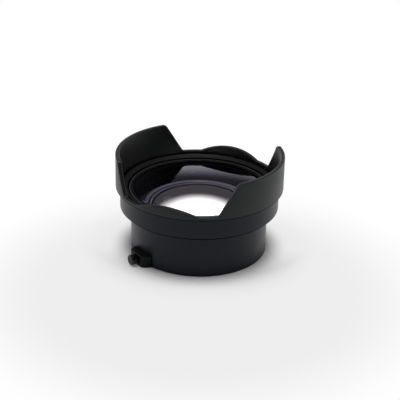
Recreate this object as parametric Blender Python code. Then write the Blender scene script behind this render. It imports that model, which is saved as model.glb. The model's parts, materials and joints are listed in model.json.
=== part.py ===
# Wide-angle conversion lens
#
# A clamp-on converter that slips over the front of a camera lens. The frame is in metres, +Z runs
# along the optical axis towards the scene, and the lens stands on its rear rim at Z = 0.
# A turned rear barrel carries a wider head ring, the head ring carries the glass and a petal hood
# on a bayonet, and a knob on the barrel's side drives a shoe against the camera lens.

import math

import bmesh
import bpy
from mathutils import Matrix, Vector

MM = 0.001

# Gap between pieces that touch, how far a cutter runs past a face, how near points are merged,
# the share of a screw's radius taken by its tapered tip, and how finely round pieces are divided
CLEARANCE = 0.3 * MM
OVERSHOOT = 2.0 * MM
WELD = 0.001 * MM
SCREW_TIP = 0.4
RING_STEPS = 60
INNER_STEPS = 40
GLASS_STEPS = 48
KNOB_STEPS = 24
ARC_STEP = math.radians(9)
SCREW_STEPS = 12
SMOOTH_ANGLE = math.radians(35)

# Glasses and what holds them
FRONT_GLASS_CURVE = 250.0 * MM
FRONT_GLASS_CENTRE = 2.0 * MM
FRONT_GLASS_REAR_CURVE = 85.0 * MM
FRONT_GLASS_LAND = 2.0 * MM
FRONT_GLASS_PROUD = 0.7 * MM
FRONT_GLASS_RINGS = 5
REAR_GLASS_EDGE = 2.2 * MM
REAR_GLASS_CURVE = 120.0 * MM
REAR_GLASS_REAR_CURVE = 400.0 * MM
REAR_GLASS_RINGS = 4
REAR_RETAINER_HEIGHT = 2.4 * MM
REAR_RETAINER_WALL = 1.6 * MM
REAR_RETAINER_CHAMFER = 0.8 * MM
REAR_RETAINER_SINK = 0.4 * MM
SEAL_THICKNESS = 0.5 * MM
SEAL_WIDTH = 1.6 * MM
BAFFLE_RIBS = 3
BAFFLE_RIB_DEPTH = 0.5 * MM
CUSHION_WIDTH = 4.1 * MM
CUSHION_THICKNESS = 1.0 * MM

# Rear barrel. All the radii of the lens follow from its outer radius.
BARREL_RADIUS = 45.8 * MM
BARREL_TOP = 34.0 * MM
BARREL_CHAMFER = 0.5 * MM
BARREL_WALL = 3.0 * MM
CAMERA_BORE_RADIUS = BARREL_RADIUS - BARREL_WALL
CAMERA_BORE_DEPTH = 11.0 * MM
LEDGE_WIDTH = 9.8 * MM
LEDGE_RADIUS = CAMERA_BORE_RADIUS - LEDGE_WIDTH
LEDGE_THICKNESS = 2.0 * MM
LEDGE_TOP = CAMERA_BORE_DEPTH + LEDGE_THICKNESS
FRONT_CELL_WALL = 3.5 * MM
FRONT_CELL_RADIUS = BARREL_RADIUS - FRONT_CELL_WALL
REAR_SEAT_WIDTH = 3.5 * MM
REAR_CELL_RADIUS = LEDGE_RADIUS + REAR_SEAT_WIDTH
REAR_GLASS_BOTTOM = LEDGE_TOP + SEAL_THICKNESS + 2 * CLEARANCE
REAR_GLASS_TOP = REAR_GLASS_BOTTOM + REAR_GLASS_EDGE
REAR_CELL_TOP = REAR_GLASS_TOP + CLEARANCE + REAR_RETAINER_HEIGHT + REAR_RETAINER_SINK

# Head ring, screwed over the top of the barrel
NOSE_STEP = 1.3 * MM
NOSE_WALL = 0.9 * MM
CHANNEL_WIDTH = 4.9 * MM
HEAD_WALL = 1.1 * MM
HEAD_OVERLAP = 4.1 * MM
HEAD_BOTTOM_CHAMFER = 1.3 * MM
HEAD_TOP_CHAMFER = 0.6 * MM
SEAT_PLATE = 2.0 * MM
CHANNEL_STEP = 0.7 * MM
NOSE_HEIGHT = 4.7 * MM
NOSE_RADIUS = BARREL_RADIUS + NOSE_STEP
NOSE_BORE_RADIUS = NOSE_RADIUS - NOSE_WALL
CHANNEL_RADIUS = NOSE_RADIUS + CHANNEL_WIDTH
HEAD_RADIUS = CHANNEL_RADIUS + HEAD_WALL
HEAD_BOTTOM = BARREL_TOP - HEAD_OVERLAP
SEAT_HEIGHT = BARREL_TOP + CLEARANCE + SEAT_PLATE
CHANNEL_FLOOR = SEAT_HEIGHT + CHANNEL_STEP
NOSE_TOP = CHANNEL_FLOOR + NOSE_HEIGHT

# Front retaining ring, on the nose of the head ring
RETAINER_FLANGE = 1.4 * MM
RETAINER_RIM = 0.7 * MM
RETAINER_EDGE_CHAMFER = 0.3 * MM
RETAINER_LIP = 0.8 * MM
RETAINER_LIP_HEIGHT = 0.3 * MM
RETAINER_SKIRT_WALL = 0.6 * MM
RETAINER_SKIRT_LENGTH = 3.2 * MM
SPANNER_SLOT_WIDTH = 1.6 * MM
SPANNER_SLOT_DEPTH = 0.5 * MM
SPANNER_SLOT_REACH = 1.0 * MM
RETAINER_TOP = NOSE_TOP + CLEARANCE + RETAINER_FLANGE
RETAINER_BOTTOM = RETAINER_TOP - RETAINER_SKIRT_LENGTH
RETAINER_EDGE_RADIUS = NOSE_RADIUS - RETAINER_RIM

# Front element, a deep negative meniscus with a stepped edge, inside the retaining ring's skirt
FRONT_GLASS_RADIUS = NOSE_BORE_RADIUS - RETAINER_SKIRT_WALL - 2 * CLEARANCE
FRONT_GLASS_EDGE_TOP = NOSE_TOP + FRONT_GLASS_PROUD
FRONT_GLASS_SHOULDER = SEAT_HEIGHT + SEAL_THICKNESS + 2 * CLEARANCE
FRONT_GLASS_STEP_RADIUS = FRONT_CELL_RADIUS - CLEARANCE
FRONT_GLASS_REAR_OPENING = FRONT_GLASS_STEP_RADIUS - FRONT_GLASS_LAND
RETAINER_LIP_RADIUS = FRONT_GLASS_RADIUS - RETAINER_LIP

# Hood bayonet, from the floor of the channel up: ring's base, hood's tabs, ring's lugs
BAYONET_COUNT = 3
BAYONET_BASE_HEIGHT = 1.0 * MM
BAYONET_TAB_HEIGHT = 1.2 * MM
BAYONET_LUG_HEIGHT = 1.3 * MM
BAYONET_WALL = 0.9 * MM
BAYONET_LUG_SPAN = math.radians(36)
BAYONET_TAB_SPAN = math.radians(30)
BAYONET_STOP_SPAN = math.radians(3)
BAYONET_SCREW_RADIUS = 0.5 * MM
BAYONET_SCREW_HEAD_RADIUS = 0.9 * MM
BAYONET_SCREW_LENGTH = 3.2 * MM
SKIRT_WALL = 1.3 * MM
BAYONET_BASE_BOTTOM = CHANNEL_FLOOR + CLEARANCE
BAYONET_BASE_TOP = BAYONET_BASE_BOTTOM + BAYONET_BASE_HEIGHT
BAYONET_TAB_BOTTOM = BAYONET_BASE_TOP + CLEARANCE
BAYONET_TAB_TOP = BAYONET_TAB_BOTTOM + BAYONET_TAB_HEIGHT
BAYONET_LUG_BOTTOM = BAYONET_TAB_TOP + CLEARANCE
BAYONET_LUG_TOP = BAYONET_LUG_BOTTOM + BAYONET_LUG_HEIGHT
SKIRT_OUTER_RADIUS = CHANNEL_RADIUS - CLEARANCE
SKIRT_INNER_RADIUS = SKIRT_OUTER_RADIUS - SKIRT_WALL
BAYONET_INNER_RADIUS = NOSE_RADIUS + CLEARANCE
BAYONET_WALL_RADIUS = BAYONET_INNER_RADIUS + BAYONET_WALL
BAYONET_REACH_RADIUS = SKIRT_INNER_RADIUS - CLEARANCE

# Petal hood. Its shelf passes over the bayonet's lugs.
SHELF_OVER_LUGS = 0.65 * MM
SHELF_THICKNESS = 1.8 * MM
SHELF_RISE = 1.8 * MM
SHELF_GROOVE = 0.4 * MM
SHELF_INSET = 2.3 * MM
HOOD_OVERHANG = 2.9 * MM
HOOD_WALL = 2.8 * MM
HOOD_LIP = 1.0 * MM
HOOD_BAND = 2.3 * MM
HOOD_RIM_BEVEL = 0.55 * MM
HOOD_BASE_BEVEL = 0.6 * MM
HOOD_TALL_RISE = 20.8 * MM
HOOD_LOW_RISE = 4.75 * MM
HOOD_TURN = math.radians(-23.4)
TALL_TOP_HALF_ANGLE = math.radians(39.9)
TALL_FOOT_HALF_ANGLE = math.radians(53.5)
LOW_HALF_ANGLE = math.radians(22.6)
PETAL_CORNER_RADIUS = 3.5 * MM
PETAL_FOOT_RADIUS = 2.0 * MM
STATION_STEP = math.radians(7.5)
HOOD_RADIUS = HEAD_RADIUS + HOOD_OVERHANG
HOOD_INNER_RADIUS = HOOD_RADIUS - HOOD_WALL
SHELF_OUTER_RADIUS = HOOD_INNER_RADIUS - SHELF_INSET
SHELF_UNDER = BAYONET_LUG_TOP + SHELF_OVER_LUGS
SHELF_INNER_TOP = SHELF_UNDER + SHELF_THICKNESS
SHELF_OUTER_TOP = SHELF_INNER_TOP + SHELF_RISE
HOOD_VALLEY = SHELF_OUTER_TOP + HOOD_LIP + HOOD_RIM_BEVEL
HOOD_BASE = HOOD_VALLEY - HOOD_BAND
HEAD_TOP = HOOD_BASE - CLEARANCE

# Clamp on the barrel's side: knob, screw, shoe, and the lug with its two fixing screws
CLAMP_ANGLE = math.radians(-143.5)
KNOB_RADIUS = 3.6 * MM
KNOB_LENGTH = 4.2 * MM
KNOB_BEVEL = 0.6 * MM
KNOB_RECESS_DEPTH = 2.8 * MM
CLAMP_SCREW_RADIUS = 2.0 * MM
CLAMP_POINT_RADIUS = 1.3 * MM
CLAMP_POINT_LENGTH = 0.8 * MM
CLAMP_TRAVEL = 1.2 * MM
SHOE_THICKNESS = 1.6 * MM
SHOE_ENGAGEMENT = 0.35 * MM
SHOE_HALF_WIDTH = 3.2 * MM
SHOE_HEIGHT = 5.0 * MM
SHOE_FIT = 0.45 * MM
SHOE_TO_SCREW = 1.3 * MM
LUG_SCREW_RADIUS = 0.8 * MM
LUG_SCREW_HEAD_RADIUS = 1.4 * MM
LUG_SCREW_HEAD_HEIGHT = 1.0 * MM
LUG_SCREW_SOCKET_RADIUS = 0.6 * MM
LUG_SCREW_SOCKET_DEPTH = 0.6 * MM
LUG_SCREW_COVER = 2.3 * MM
LUG_BOTTOM = 0.2 * MM
LUG_OVER_KNOB = 0.4 * MM
LUG_DEPTH = 5.2 * MM
LUG_SIDE = 3.8 * MM
LUG_FLARE = 2.5 * MM
LUG_CORNER_RADIUS = 2.5 * MM
LUG_EDGE_BEVEL = 0.5 * MM
LUG_HEIGHT = 2 * (KNOB_RADIUS + LUG_OVER_KNOB)
CLAMP_HEIGHT = LUG_BOTTOM + LUG_HEIGHT / 2
LUG_REACH = BARREL_RADIUS + LUG_DEPTH
LUG_SCREW_OFFSET = SHOE_HALF_WIDTH + SHOE_TO_SCREW + LUG_SCREW_HEAD_RADIUS
LUG_BASE_HALF_WIDTH = LUG_SCREW_OFFSET + LUG_SIDE
LUG_FACE_HALF_WIDTH = LUG_BASE_HALF_WIDTH - LUG_FLARE
SHOE_OUTER_REACH = CAMERA_BORE_RADIUS + SHOE_ENGAGEMENT
SHOE_INNER_REACH = SHOE_OUTER_REACH - SHOE_THICKNESS

# Set screws that lock the head ring on the barrel
SET_SCREW_ANGLES = (math.radians(62), math.radians(118))
SET_SCREW_RADIUS = 1.0 * MM
SET_SCREW_SINK = 0.5 * MM
SET_SCREW_SOCKET_RADIUS = 0.5 * MM
SET_SCREW_SOCKET_DEPTH = 0.8 * MM
SET_SCREW_HEIGHT = (HEAD_BOTTOM + HEAD_BOTTOM_CHAMFER + BARREL_TOP) / 2


def remove_everything():
    for item in list(bpy.data.objects):
        bpy.data.objects.remove(item, do_unlink=True)


def plain_material(name, colour, roughness, metallic=0.0, transmission=0.0):
    material = bpy.data.materials.new(name)
    material.use_nodes = True
    shader = material.node_tree.nodes["Principled BSDF"]
    shader.inputs["Base Color"].default_value = (*colour, 1.0)
    shader.inputs["Roughness"].default_value = roughness
    shader.inputs["Metallic"].default_value = metallic
    shader.inputs["Transmission Weight"].default_value = transmission
    material.diffuse_color = (*colour, 1.0)
    return material


def finish(name, mesh_data, material, flat=False):
    """Turn bmesh data into a named, shaded object in the scene."""
    bmesh.ops.recalc_face_normals(mesh_data, faces=mesh_data.faces)
    mesh = bpy.data.meshes.new(name)
    mesh_data.to_mesh(mesh)
    mesh_data.free()
    mesh.materials.append(material)
    if not flat:
        mesh.shade_smooth()
        mesh.set_sharp_from_angle(angle=SMOOTH_ANGLE)
    item = bpy.data.objects.new(name, mesh)
    bpy.context.collection.objects.link(item)
    return item


def turned(name, section, material, steps=RING_STEPS):
    """Spin a closed section of (radius, height) points round the optical axis."""
    mesh_data = bmesh.new()
    corners = [mesh_data.verts.new((radius, 0.0, height)) for radius, height in section]
    loop = [mesh_data.edges.new((corners[i - 1], corners[i])) for i in range(len(corners))]
    bmesh.ops.spin(mesh_data, geom=corners + loop, cent=(0, 0, 0), axis=(0, 0, 1),
                   angle=math.tau, steps=steps, use_merge=True)
    bmesh.ops.remove_doubles(mesh_data, verts=mesh_data.verts, dist=WELD)
    return finish(name, mesh_data, material)


def turned_solid(name, section, material, steps):
    """Spin an open section that starts and ends on the axis, for pieces with no bore."""
    mesh_data = bmesh.new()
    corners = [mesh_data.verts.new((radius, 0.0, height)) for radius, height in section]
    chain = [mesh_data.edges.new((corners[i], corners[i + 1])) for i in range(len(corners) - 1)]
    bmesh.ops.spin(mesh_data, geom=corners + chain, cent=(0, 0, 0), axis=(0, 0, 1),
                   angle=math.tau, steps=steps, use_merge=True)
    bmesh.ops.remove_doubles(mesh_data, verts=mesh_data.verts, dist=WELD)
    return finish(name, mesh_data, material)


def lay_along(item, place, direction):
    """Turn a piece modelled along +Z so that it points along a direction, and move it."""
    turn = Vector((0, 0, 1)).rotation_difference(Vector(direction))
    item.rotation_mode = "QUATERNION"
    item.rotation_quaternion = turn
    item.location = place
    return item


def hide_cutter(cutter):
    cutter.hide_render = True
    cutter.display_type = "WIRE"


def combine(item, tools, operation):
    for tool in tools:
        change = item.modifiers.new(tool.name, "BOOLEAN")
        change.object = tool
        change.operation = operation
        change.solver = "EXACT"
        hide_cutter(tool)


def arc_block(name, inner, outer, bottom, top, centre, span, material):
    """A block that follows the ring, between two radii and two heights."""
    steps = max(2, round(span / ARC_STEP))
    mesh_data = bmesh.new()
    start = centre - span / 2
    corners = [mesh_data.verts.new((radius * math.cos(start), radius * math.sin(start), height))
               for radius, height in ((inner, bottom), (outer, bottom), (outer, top), (inner, top))]
    face = mesh_data.faces.new(corners)
    bmesh.ops.spin(mesh_data, geom=[face], cent=(0, 0, 0), axis=(0, 0, 1), angle=span, steps=steps)
    return finish(name, mesh_data, material, flat=True)


def sphere_drop(radius, curve):
    """How far a spherical surface has fallen away from its apex at a radius."""
    return curve - math.sqrt(curve * curve - radius * radius)


def around(angle, radius, height=0.0):
    return Vector((radius * math.cos(angle), radius * math.sin(angle), height))


# Finishes
def make_finishes():
    return {
        "barrel": plain_material("satin_black_anodised", (0.020, 0.021, 0.025), 0.42, 0.6),
        "head": plain_material("satin_black_head", (0.020, 0.021, 0.025), 0.42, 0.6),
        "hood": plain_material("matt_black_plastic", (0.026, 0.026, 0.025), 0.55),
        "dark": plain_material("flat_black_inner", (0.010, 0.010, 0.010), 0.75),
        "glass": plain_material("coated_glass", (0.95, 0.95, 1.0), 0.02, 0.0, 1.0),
        "steel": plain_material("blackened_steel", (0.10, 0.10, 0.10), 0.40, 0.9),
        "rubber": plain_material("black_rubber", (0.015, 0.015, 0.015), 0.85),
        "brass": plain_material("dull_brass", (0.45, 0.33, 0.14), 0.40, 0.9),
    }


# Rear barrel
def make_barrel(finishes):
    section = [
        (CAMERA_BORE_RADIUS + BARREL_CHAMFER, 0.0),
        (BARREL_RADIUS - BARREL_CHAMFER, 0.0),
        (BARREL_RADIUS, BARREL_CHAMFER),
        (BARREL_RADIUS, BARREL_TOP),
        (FRONT_CELL_RADIUS, BARREL_TOP),
        (FRONT_CELL_RADIUS, REAR_CELL_TOP),
        (REAR_CELL_RADIUS, REAR_CELL_TOP),
        (REAR_CELL_RADIUS, LEDGE_TOP),
        (LEDGE_RADIUS, LEDGE_TOP),
        (LEDGE_RADIUS, CAMERA_BORE_DEPTH),
        (CAMERA_BORE_RADIUS, CAMERA_BORE_DEPTH),
        (CAMERA_BORE_RADIUS, BARREL_CHAMFER),
    ]
    barrel = turned("rear_barrel", section, finishes["barrel"])
    pocket_outer = SHOE_OUTER_REACH + CLAMP_TRAVEL + CLEARANCE
    cutters = [
        shoe_block("shoe_pocket", SHOE_INNER_REACH - OVERSHOOT, pocket_outer, SHOE_FIT,
                   finishes["barrel"]),
        clamp_rod("clamp_screw_hole", CLAMP_SCREW_RADIUS + CLEARANCE, SHOE_OUTER_REACH,
                  BARREL_RADIUS + OVERSHOOT, 0.0, finishes["barrel"]),
    ]
    for side in (-1, 1):
        offset = side * LUG_SCREW_OFFSET
        cutters.append(clamp_rod(f"lug_screw_hole_{side}", LUG_SCREW_RADIUS + CLEARANCE,
                                 SHOE_INNER_REACH, BARREL_RADIUS + OVERSHOOT, offset,
                                 finishes["barrel"]))
        cutters.append(clamp_rod(f"lug_screw_sink_{side}", LUG_SCREW_HEAD_RADIUS + CLEARANCE,
                                 SHOE_INNER_REACH, lug_screw_shoulder() + CLEARANCE, offset,
                                 finishes["barrel"]))
    combine(barrel, cutters, "DIFFERENCE")


# Clamp geometry shared by the barrel, the lug, the shoe and the screws
def rod_at(name, radius, start, end, material, steps=SCREW_STEPS):
    """A plain cylinder from one point to another."""
    axis = Vector(end) - Vector(start)
    mesh_data = bmesh.new()
    bmesh.ops.create_cone(mesh_data, cap_ends=True, segments=steps, radius1=radius, radius2=radius,
                          depth=axis.length, matrix=Matrix.Translation((0, 0, axis.length / 2)))
    return lay_along(finish(name, mesh_data, material), start, axis.normalized())


def clamp_point(reach, offset=0.0, height=CLAMP_HEIGHT):
    """A point at a reach along the clamp's axis and an offset to its side."""
    sideways = around(CLAMP_ANGLE + math.pi / 2, offset)
    return around(CLAMP_ANGLE, reach, height) + sideways


def clamp_rod(name, radius, start, end, offset, material):
    """A cylinder along the clamp's axis or beside it, from one reach to another."""
    return rod_at(name, radius, clamp_point(start, offset), clamp_point(end, offset), material)


def lug_screw_shoulder():
    """Reach of the shoulder under each lug screw's head, sunk just below the camera bore's wall."""
    nearest = LUG_SCREW_OFFSET - LUG_SCREW_HEAD_RADIUS
    bore_wall = math.sqrt(CAMERA_BORE_RADIUS ** 2 - nearest ** 2)
    return bore_wall + CLEARANCE + LUG_SCREW_HEAD_HEIGHT


def shoe_block(name, inner, outer, grow, material):
    half_height = SHOE_HEIGHT / 2 + grow
    half_span = (SHOE_HALF_WIDTH + grow) / CAMERA_BORE_RADIUS
    return arc_block(name, inner, outer, CLAMP_HEIGHT - half_height, CLAMP_HEIGHT + half_height,
                     CLAMP_ANGLE, 2 * half_span, material)


def lug_outline():
    """Plan of the lug as (reach, offset) points: flat face, rounded corners, flared sides."""
    inner = BARREL_RADIUS + CLEARANCE
    base_reach = math.sqrt(inner ** 2 - LUG_BASE_HALF_WIDTH ** 2)
    flare = math.atan2(LUG_FLARE, LUG_REACH - base_reach)
    corner_turn = math.pi / 2 - flare
    setback = LUG_CORNER_RADIUS * math.tan(corner_turn / 2)
    centre = (LUG_REACH - LUG_CORNER_RADIUS, LUG_FACE_HALF_WIDTH - setback)
    corner_steps = 5
    corner = []
    for i in range(corner_steps + 1):
        angle = corner_turn * i / corner_steps
        corner.append((centre[0] + LUG_CORNER_RADIUS * math.cos(angle),
                       centre[1] + LUG_CORNER_RADIUS * math.sin(angle)))
    spread = math.asin(LUG_BASE_HALF_WIDTH / inner)
    arc_steps = 8
    inner_arc = []
    for i in range(arc_steps + 1):
        angle = spread - 2 * spread * i / arc_steps
        inner_arc.append((inner * math.cos(angle), inner * math.sin(angle)))
    other_corner = [(reach, -offset) for reach, offset in reversed(corner)]
    return corner + inner_arc + other_corner


def make_lug(finishes):
    mesh_data = bmesh.new()
    corners = [mesh_data.verts.new(clamp_point(reach, offset, LUG_BOTTOM))
               for reach, offset in lug_outline()]
    base = mesh_data.faces.new(corners)
    raised = bmesh.ops.extrude_face_region(mesh_data, geom=[base])
    lifted = [part for part in raised["geom"] if isinstance(part, bmesh.types.BMVert)]
    bmesh.ops.translate(mesh_data, vec=(0, 0, LUG_HEIGHT), verts=lifted)
    # the level edges that don't lie against the barrel are rounded
    outer_edges = []
    for edge in mesh_data.edges:
        start, end = (corner.co for corner in edge.verts)
        level = abs(start.z - end.z) < LUG_EDGE_BEVEL
        if level and (start.xy.length + end.xy.length) / 2 > BARREL_RADIUS + 2 * CLEARANCE:
            outer_edges.append(edge)
    bmesh.ops.bevel(mesh_data, geom=outer_edges, offset=LUG_EDGE_BEVEL, segments=2, profile=0.5,
                    affect="EDGES", clamp_overlap=True)
    lug = finish("lug_block", mesh_data, finishes["barrel"])
    holes = [clamp_rod("lug_thread_hole", CLAMP_SCREW_RADIUS + CLEARANCE, BARREL_RADIUS - OVERSHOOT,
                       LUG_REACH + OVERSHOOT, 0.0, finishes["barrel"])]
    for side in (-1, 1):
        holes.append(clamp_rod(f"lug_fixing_hole_{side}", LUG_SCREW_RADIUS + CLEARANCE,
                               CAMERA_BORE_RADIUS, LUG_REACH - LUG_SCREW_COVER + CLEARANCE,
                               side * LUG_SCREW_OFFSET, finishes["barrel"]))
    combine(lug, holes, "DIFFERENCE")


def screw_with_head(name, head_radius, head_height, radius, length, socket_radius, socket_depth,
                    material):
    """A cap screw along +Z: its head starts at 0 and its socket opens downwards."""
    section = [
        (0.0, socket_depth),
        (socket_radius, socket_depth),
        (socket_radius, 0.0),
        (head_radius, 0.0),
        (head_radius, head_height),
        (radius, head_height),
        (radius, length - radius * SCREW_TIP),
        (radius * (1 - SCREW_TIP), length),
        (0.0, length),
    ]
    return turned_solid(name, section, material, SCREW_STEPS)


def make_lug_screws(finishes):
    start = lug_screw_shoulder() - LUG_SCREW_HEAD_HEIGHT
    length = LUG_REACH - LUG_SCREW_COVER - start
    for label, side in (("left", -1), ("right", 1)):
        screw = screw_with_head(f"lug_screw_{label}", LUG_SCREW_HEAD_RADIUS, LUG_SCREW_HEAD_HEIGHT,
                                LUG_SCREW_RADIUS, length, LUG_SCREW_SOCKET_RADIUS,
                                LUG_SCREW_SOCKET_DEPTH, finishes["steel"])
        lay_along(screw, clamp_point(start, side * LUG_SCREW_OFFSET), around(CLAMP_ANGLE, 1.0))


def make_clamp(finishes):
    """The shoe, the screw that pushes it and the knob on the screw, all on the clamp's axis."""
    outward = around(CLAMP_ANGLE, 1.0)
    shoe = shoe_block("clamp_shoe", SHOE_INNER_REACH, SHOE_OUTER_REACH, 0.0, finishes["brass"])
    screw_tip = SHOE_OUTER_REACH - CLAMP_POINT_LENGTH
    socket = clamp_rod("shoe_socket", CLAMP_POINT_RADIUS + CLEARANCE, screw_tip - CLEARANCE,
                       SHOE_OUTER_REACH + OVERSHOOT, 0.0, finishes["brass"])
    combine(shoe, [socket], "DIFFERENCE")

    knob_start = LUG_REACH + CLEARANCE
    shoulder = CLAMP_POINT_LENGTH + CLEARANCE
    length = knob_start + KNOB_RECESS_DEPTH - CLEARANCE - screw_tip
    section = [
        (0.0, 0.0),
        (CLAMP_POINT_RADIUS, 0.0),
        (CLAMP_POINT_RADIUS, shoulder),
        (CLAMP_SCREW_RADIUS, shoulder),
        (CLAMP_SCREW_RADIUS, length),
        (0.0, length),
    ]
    screw = turned_solid("clamp_screw", section, finishes["steel"], SCREW_STEPS)
    lay_along(screw, clamp_point(screw_tip), outward)

    recess = CLAMP_SCREW_RADIUS + CLEARANCE
    section = [
        (0.0, KNOB_RECESS_DEPTH),
        (recess, KNOB_RECESS_DEPTH),
        (recess, 0.0),
        (KNOB_RADIUS - KNOB_BEVEL, 0.0),
        (KNOB_RADIUS, KNOB_BEVEL),
        (KNOB_RADIUS, KNOB_LENGTH - KNOB_BEVEL),
        (KNOB_RADIUS - KNOB_BEVEL, KNOB_LENGTH),
        (0.0, KNOB_LENGTH),
    ]
    knob = turned_solid("clamp_knob", section, finishes["barrel"], KNOB_STEPS)
    lay_along(knob, clamp_point(knob_start), outward)


# Head ring with the bayonet channel and the seat for the front glass
def make_head(finishes):
    recess = BARREL_RADIUS + CLEARANCE
    section = [
        (recess, HEAD_BOTTOM),
        (HEAD_RADIUS - HEAD_BOTTOM_CHAMFER, HEAD_BOTTOM),
        (HEAD_RADIUS, HEAD_BOTTOM + HEAD_BOTTOM_CHAMFER),
        (HEAD_RADIUS, HEAD_TOP - HEAD_TOP_CHAMFER),
        (HEAD_RADIUS - HEAD_TOP_CHAMFER, HEAD_TOP),
        (CHANNEL_RADIUS, HEAD_TOP),
        (CHANNEL_RADIUS, CHANNEL_FLOOR),
        (NOSE_RADIUS, CHANNEL_FLOOR),
        (NOSE_RADIUS, NOSE_TOP),
        (NOSE_BORE_RADIUS, NOSE_TOP),
        (NOSE_BORE_RADIUS, RETAINER_BOTTOM - CLEARANCE),
        (FRONT_GLASS_RADIUS + CLEARANCE, RETAINER_BOTTOM - CLEARANCE),
        (FRONT_GLASS_RADIUS + CLEARANCE, SEAT_HEIGHT),
        (FRONT_CELL_RADIUS, SEAT_HEIGHT),
        (FRONT_CELL_RADIUS, BARREL_TOP + CLEARANCE),
        (recess, BARREL_TOP + CLEARANCE),
    ]
    head = turned("head_ring", section, finishes["head"])
    cutters = []
    for number, angle in enumerate(SET_SCREW_ANGLES, start=1):
        cutters.append(rod_at(f"set_screw_hole_{number}", SET_SCREW_RADIUS + CLEARANCE,
                              around(angle, BARREL_RADIUS - OVERSHOOT, SET_SCREW_HEIGHT),
                              around(angle, HEAD_RADIUS + OVERSHOOT, SET_SCREW_HEIGHT),
                              finishes["head"]))
    for number in range(BAYONET_COUNT):
        place = bayonet_screw_place(number)
        cutters.append(rod_at(f"bayonet_screw_hole_{number}", BAYONET_SCREW_RADIUS + CLEARANCE,
                              place - Vector((0, 0, BAYONET_SCREW_LENGTH + CLEARANCE)),
                              place + Vector((0, 0, OVERSHOOT)), finishes["head"]))
    combine(head, cutters, "DIFFERENCE")


def make_set_screws(finishes):
    start = HEAD_RADIUS - SET_SCREW_SINK
    length = start - BARREL_RADIUS - CLEARANCE
    for number, angle in enumerate(SET_SCREW_ANGLES, start=1):
        section = [
            (0.0, SET_SCREW_SOCKET_DEPTH),
            (SET_SCREW_SOCKET_RADIUS, SET_SCREW_SOCKET_DEPTH),
            (SET_SCREW_SOCKET_RADIUS, 0.0),
            (SET_SCREW_RADIUS, 0.0),
            (SET_SCREW_RADIUS, length - SET_SCREW_RADIUS * SCREW_TIP),
            (SET_SCREW_RADIUS * (1 - SCREW_TIP), length),
            (0.0, length),
        ]
        screw = turned_solid(f"set_screw_{number}", section, finishes["steel"], SCREW_STEPS)
        lay_along(screw, around(angle, start, SET_SCREW_HEIGHT), around(angle, -1.0))


# Front glass, its ring and the seals of both glasses
def front_glass_levels():
    """Apex of the front surface, apex and rim of the hollow rear surface."""
    apex = FRONT_GLASS_EDGE_TOP + sphere_drop(FRONT_GLASS_RADIUS, FRONT_GLASS_CURVE)
    rear_apex = apex - FRONT_GLASS_CENTRE
    rim = rear_apex - sphere_drop(FRONT_GLASS_REAR_OPENING, FRONT_GLASS_REAR_CURVE)
    return apex, rear_apex, rim


def curved_surface(radius, rings, apex, curve):
    """Section of a spherical surface from its edge to the axis."""
    points = []
    for i in range(rings + 1):
        reach = radius * (rings - i) / rings
        points.append((reach, apex - sphere_drop(reach, curve)))
    return points


def make_front_glass(finishes):
    apex, rear_apex, rim = front_glass_levels()
    hollow = curved_surface(FRONT_GLASS_REAR_OPENING, FRONT_GLASS_RINGS, rear_apex,
                            FRONT_GLASS_REAR_CURVE)
    front = curved_surface(FRONT_GLASS_RADIUS, FRONT_GLASS_RINGS, apex, FRONT_GLASS_CURVE)
    section = [
        *reversed(hollow),
        (FRONT_GLASS_STEP_RADIUS, rim),
        (FRONT_GLASS_STEP_RADIUS, FRONT_GLASS_SHOULDER),
        (FRONT_GLASS_RADIUS, FRONT_GLASS_SHOULDER),
        *front,
    ]
    turned_solid("front_element", section, finishes["glass"], GLASS_STEPS)


def front_surface_height(radius):
    return front_glass_levels()[0] - sphere_drop(radius, FRONT_GLASS_CURVE)


def make_front_retainer(finishes):
    """A threaded ring whose flange caps the nose and whose lip holds the glass edge."""
    skirt_outer = NOSE_BORE_RADIUS - CLEARANCE
    skirt_inner = skirt_outer - RETAINER_SKIRT_WALL
    flange_under = NOSE_TOP + CLEARANCE
    lip_under = front_surface_height(RETAINER_LIP_RADIUS) + CLEARANCE
    edge_under = front_surface_height(skirt_inner) + CLEARANCE
    ring = turned("front_retaining_ring", [
        (skirt_outer, RETAINER_BOTTOM),
        (skirt_outer, flange_under),
        (NOSE_RADIUS, flange_under),
        (NOSE_RADIUS, RETAINER_TOP - RETAINER_EDGE_CHAMFER),
        (NOSE_RADIUS - RETAINER_EDGE_CHAMFER, RETAINER_TOP),
        (RETAINER_EDGE_RADIUS, RETAINER_TOP),
        (RETAINER_LIP_RADIUS, lip_under + RETAINER_LIP_HEIGHT),
        (RETAINER_LIP_RADIUS, lip_under),
        (skirt_inner, edge_under),
        (skirt_inner, RETAINER_BOTTOM),
    ], finishes["dark"])
    slots = []
    for number, angle in enumerate((HOOD_TURN, HOOD_TURN + math.pi), start=1):
        mesh_data = bmesh.new()
        bmesh.ops.create_cube(mesh_data, size=1.0)
        size = (2 * SPANNER_SLOT_REACH, SPANNER_SLOT_WIDTH, 2 * SPANNER_SLOT_DEPTH)
        bmesh.ops.scale(mesh_data, vec=size, verts=mesh_data.verts)
        slot = finish(f"spanner_slot_{number}", mesh_data, finishes["dark"], flat=True)
        slot.location = around(angle, NOSE_RADIUS, RETAINER_TOP)
        slot.rotation_euler = (0, 0, angle)
        slots.append(slot)
    combine(ring, slots, "DIFFERENCE")


def make_seal(name, inner, bottom, material):
    turned(name, [
        (inner, bottom),
        (inner + SEAL_WIDTH, bottom),
        (inner + SEAL_WIDTH, bottom + SEAL_THICKNESS),
        (inner, bottom + SEAL_THICKNESS),
    ], material, INNER_STEPS)


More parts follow.
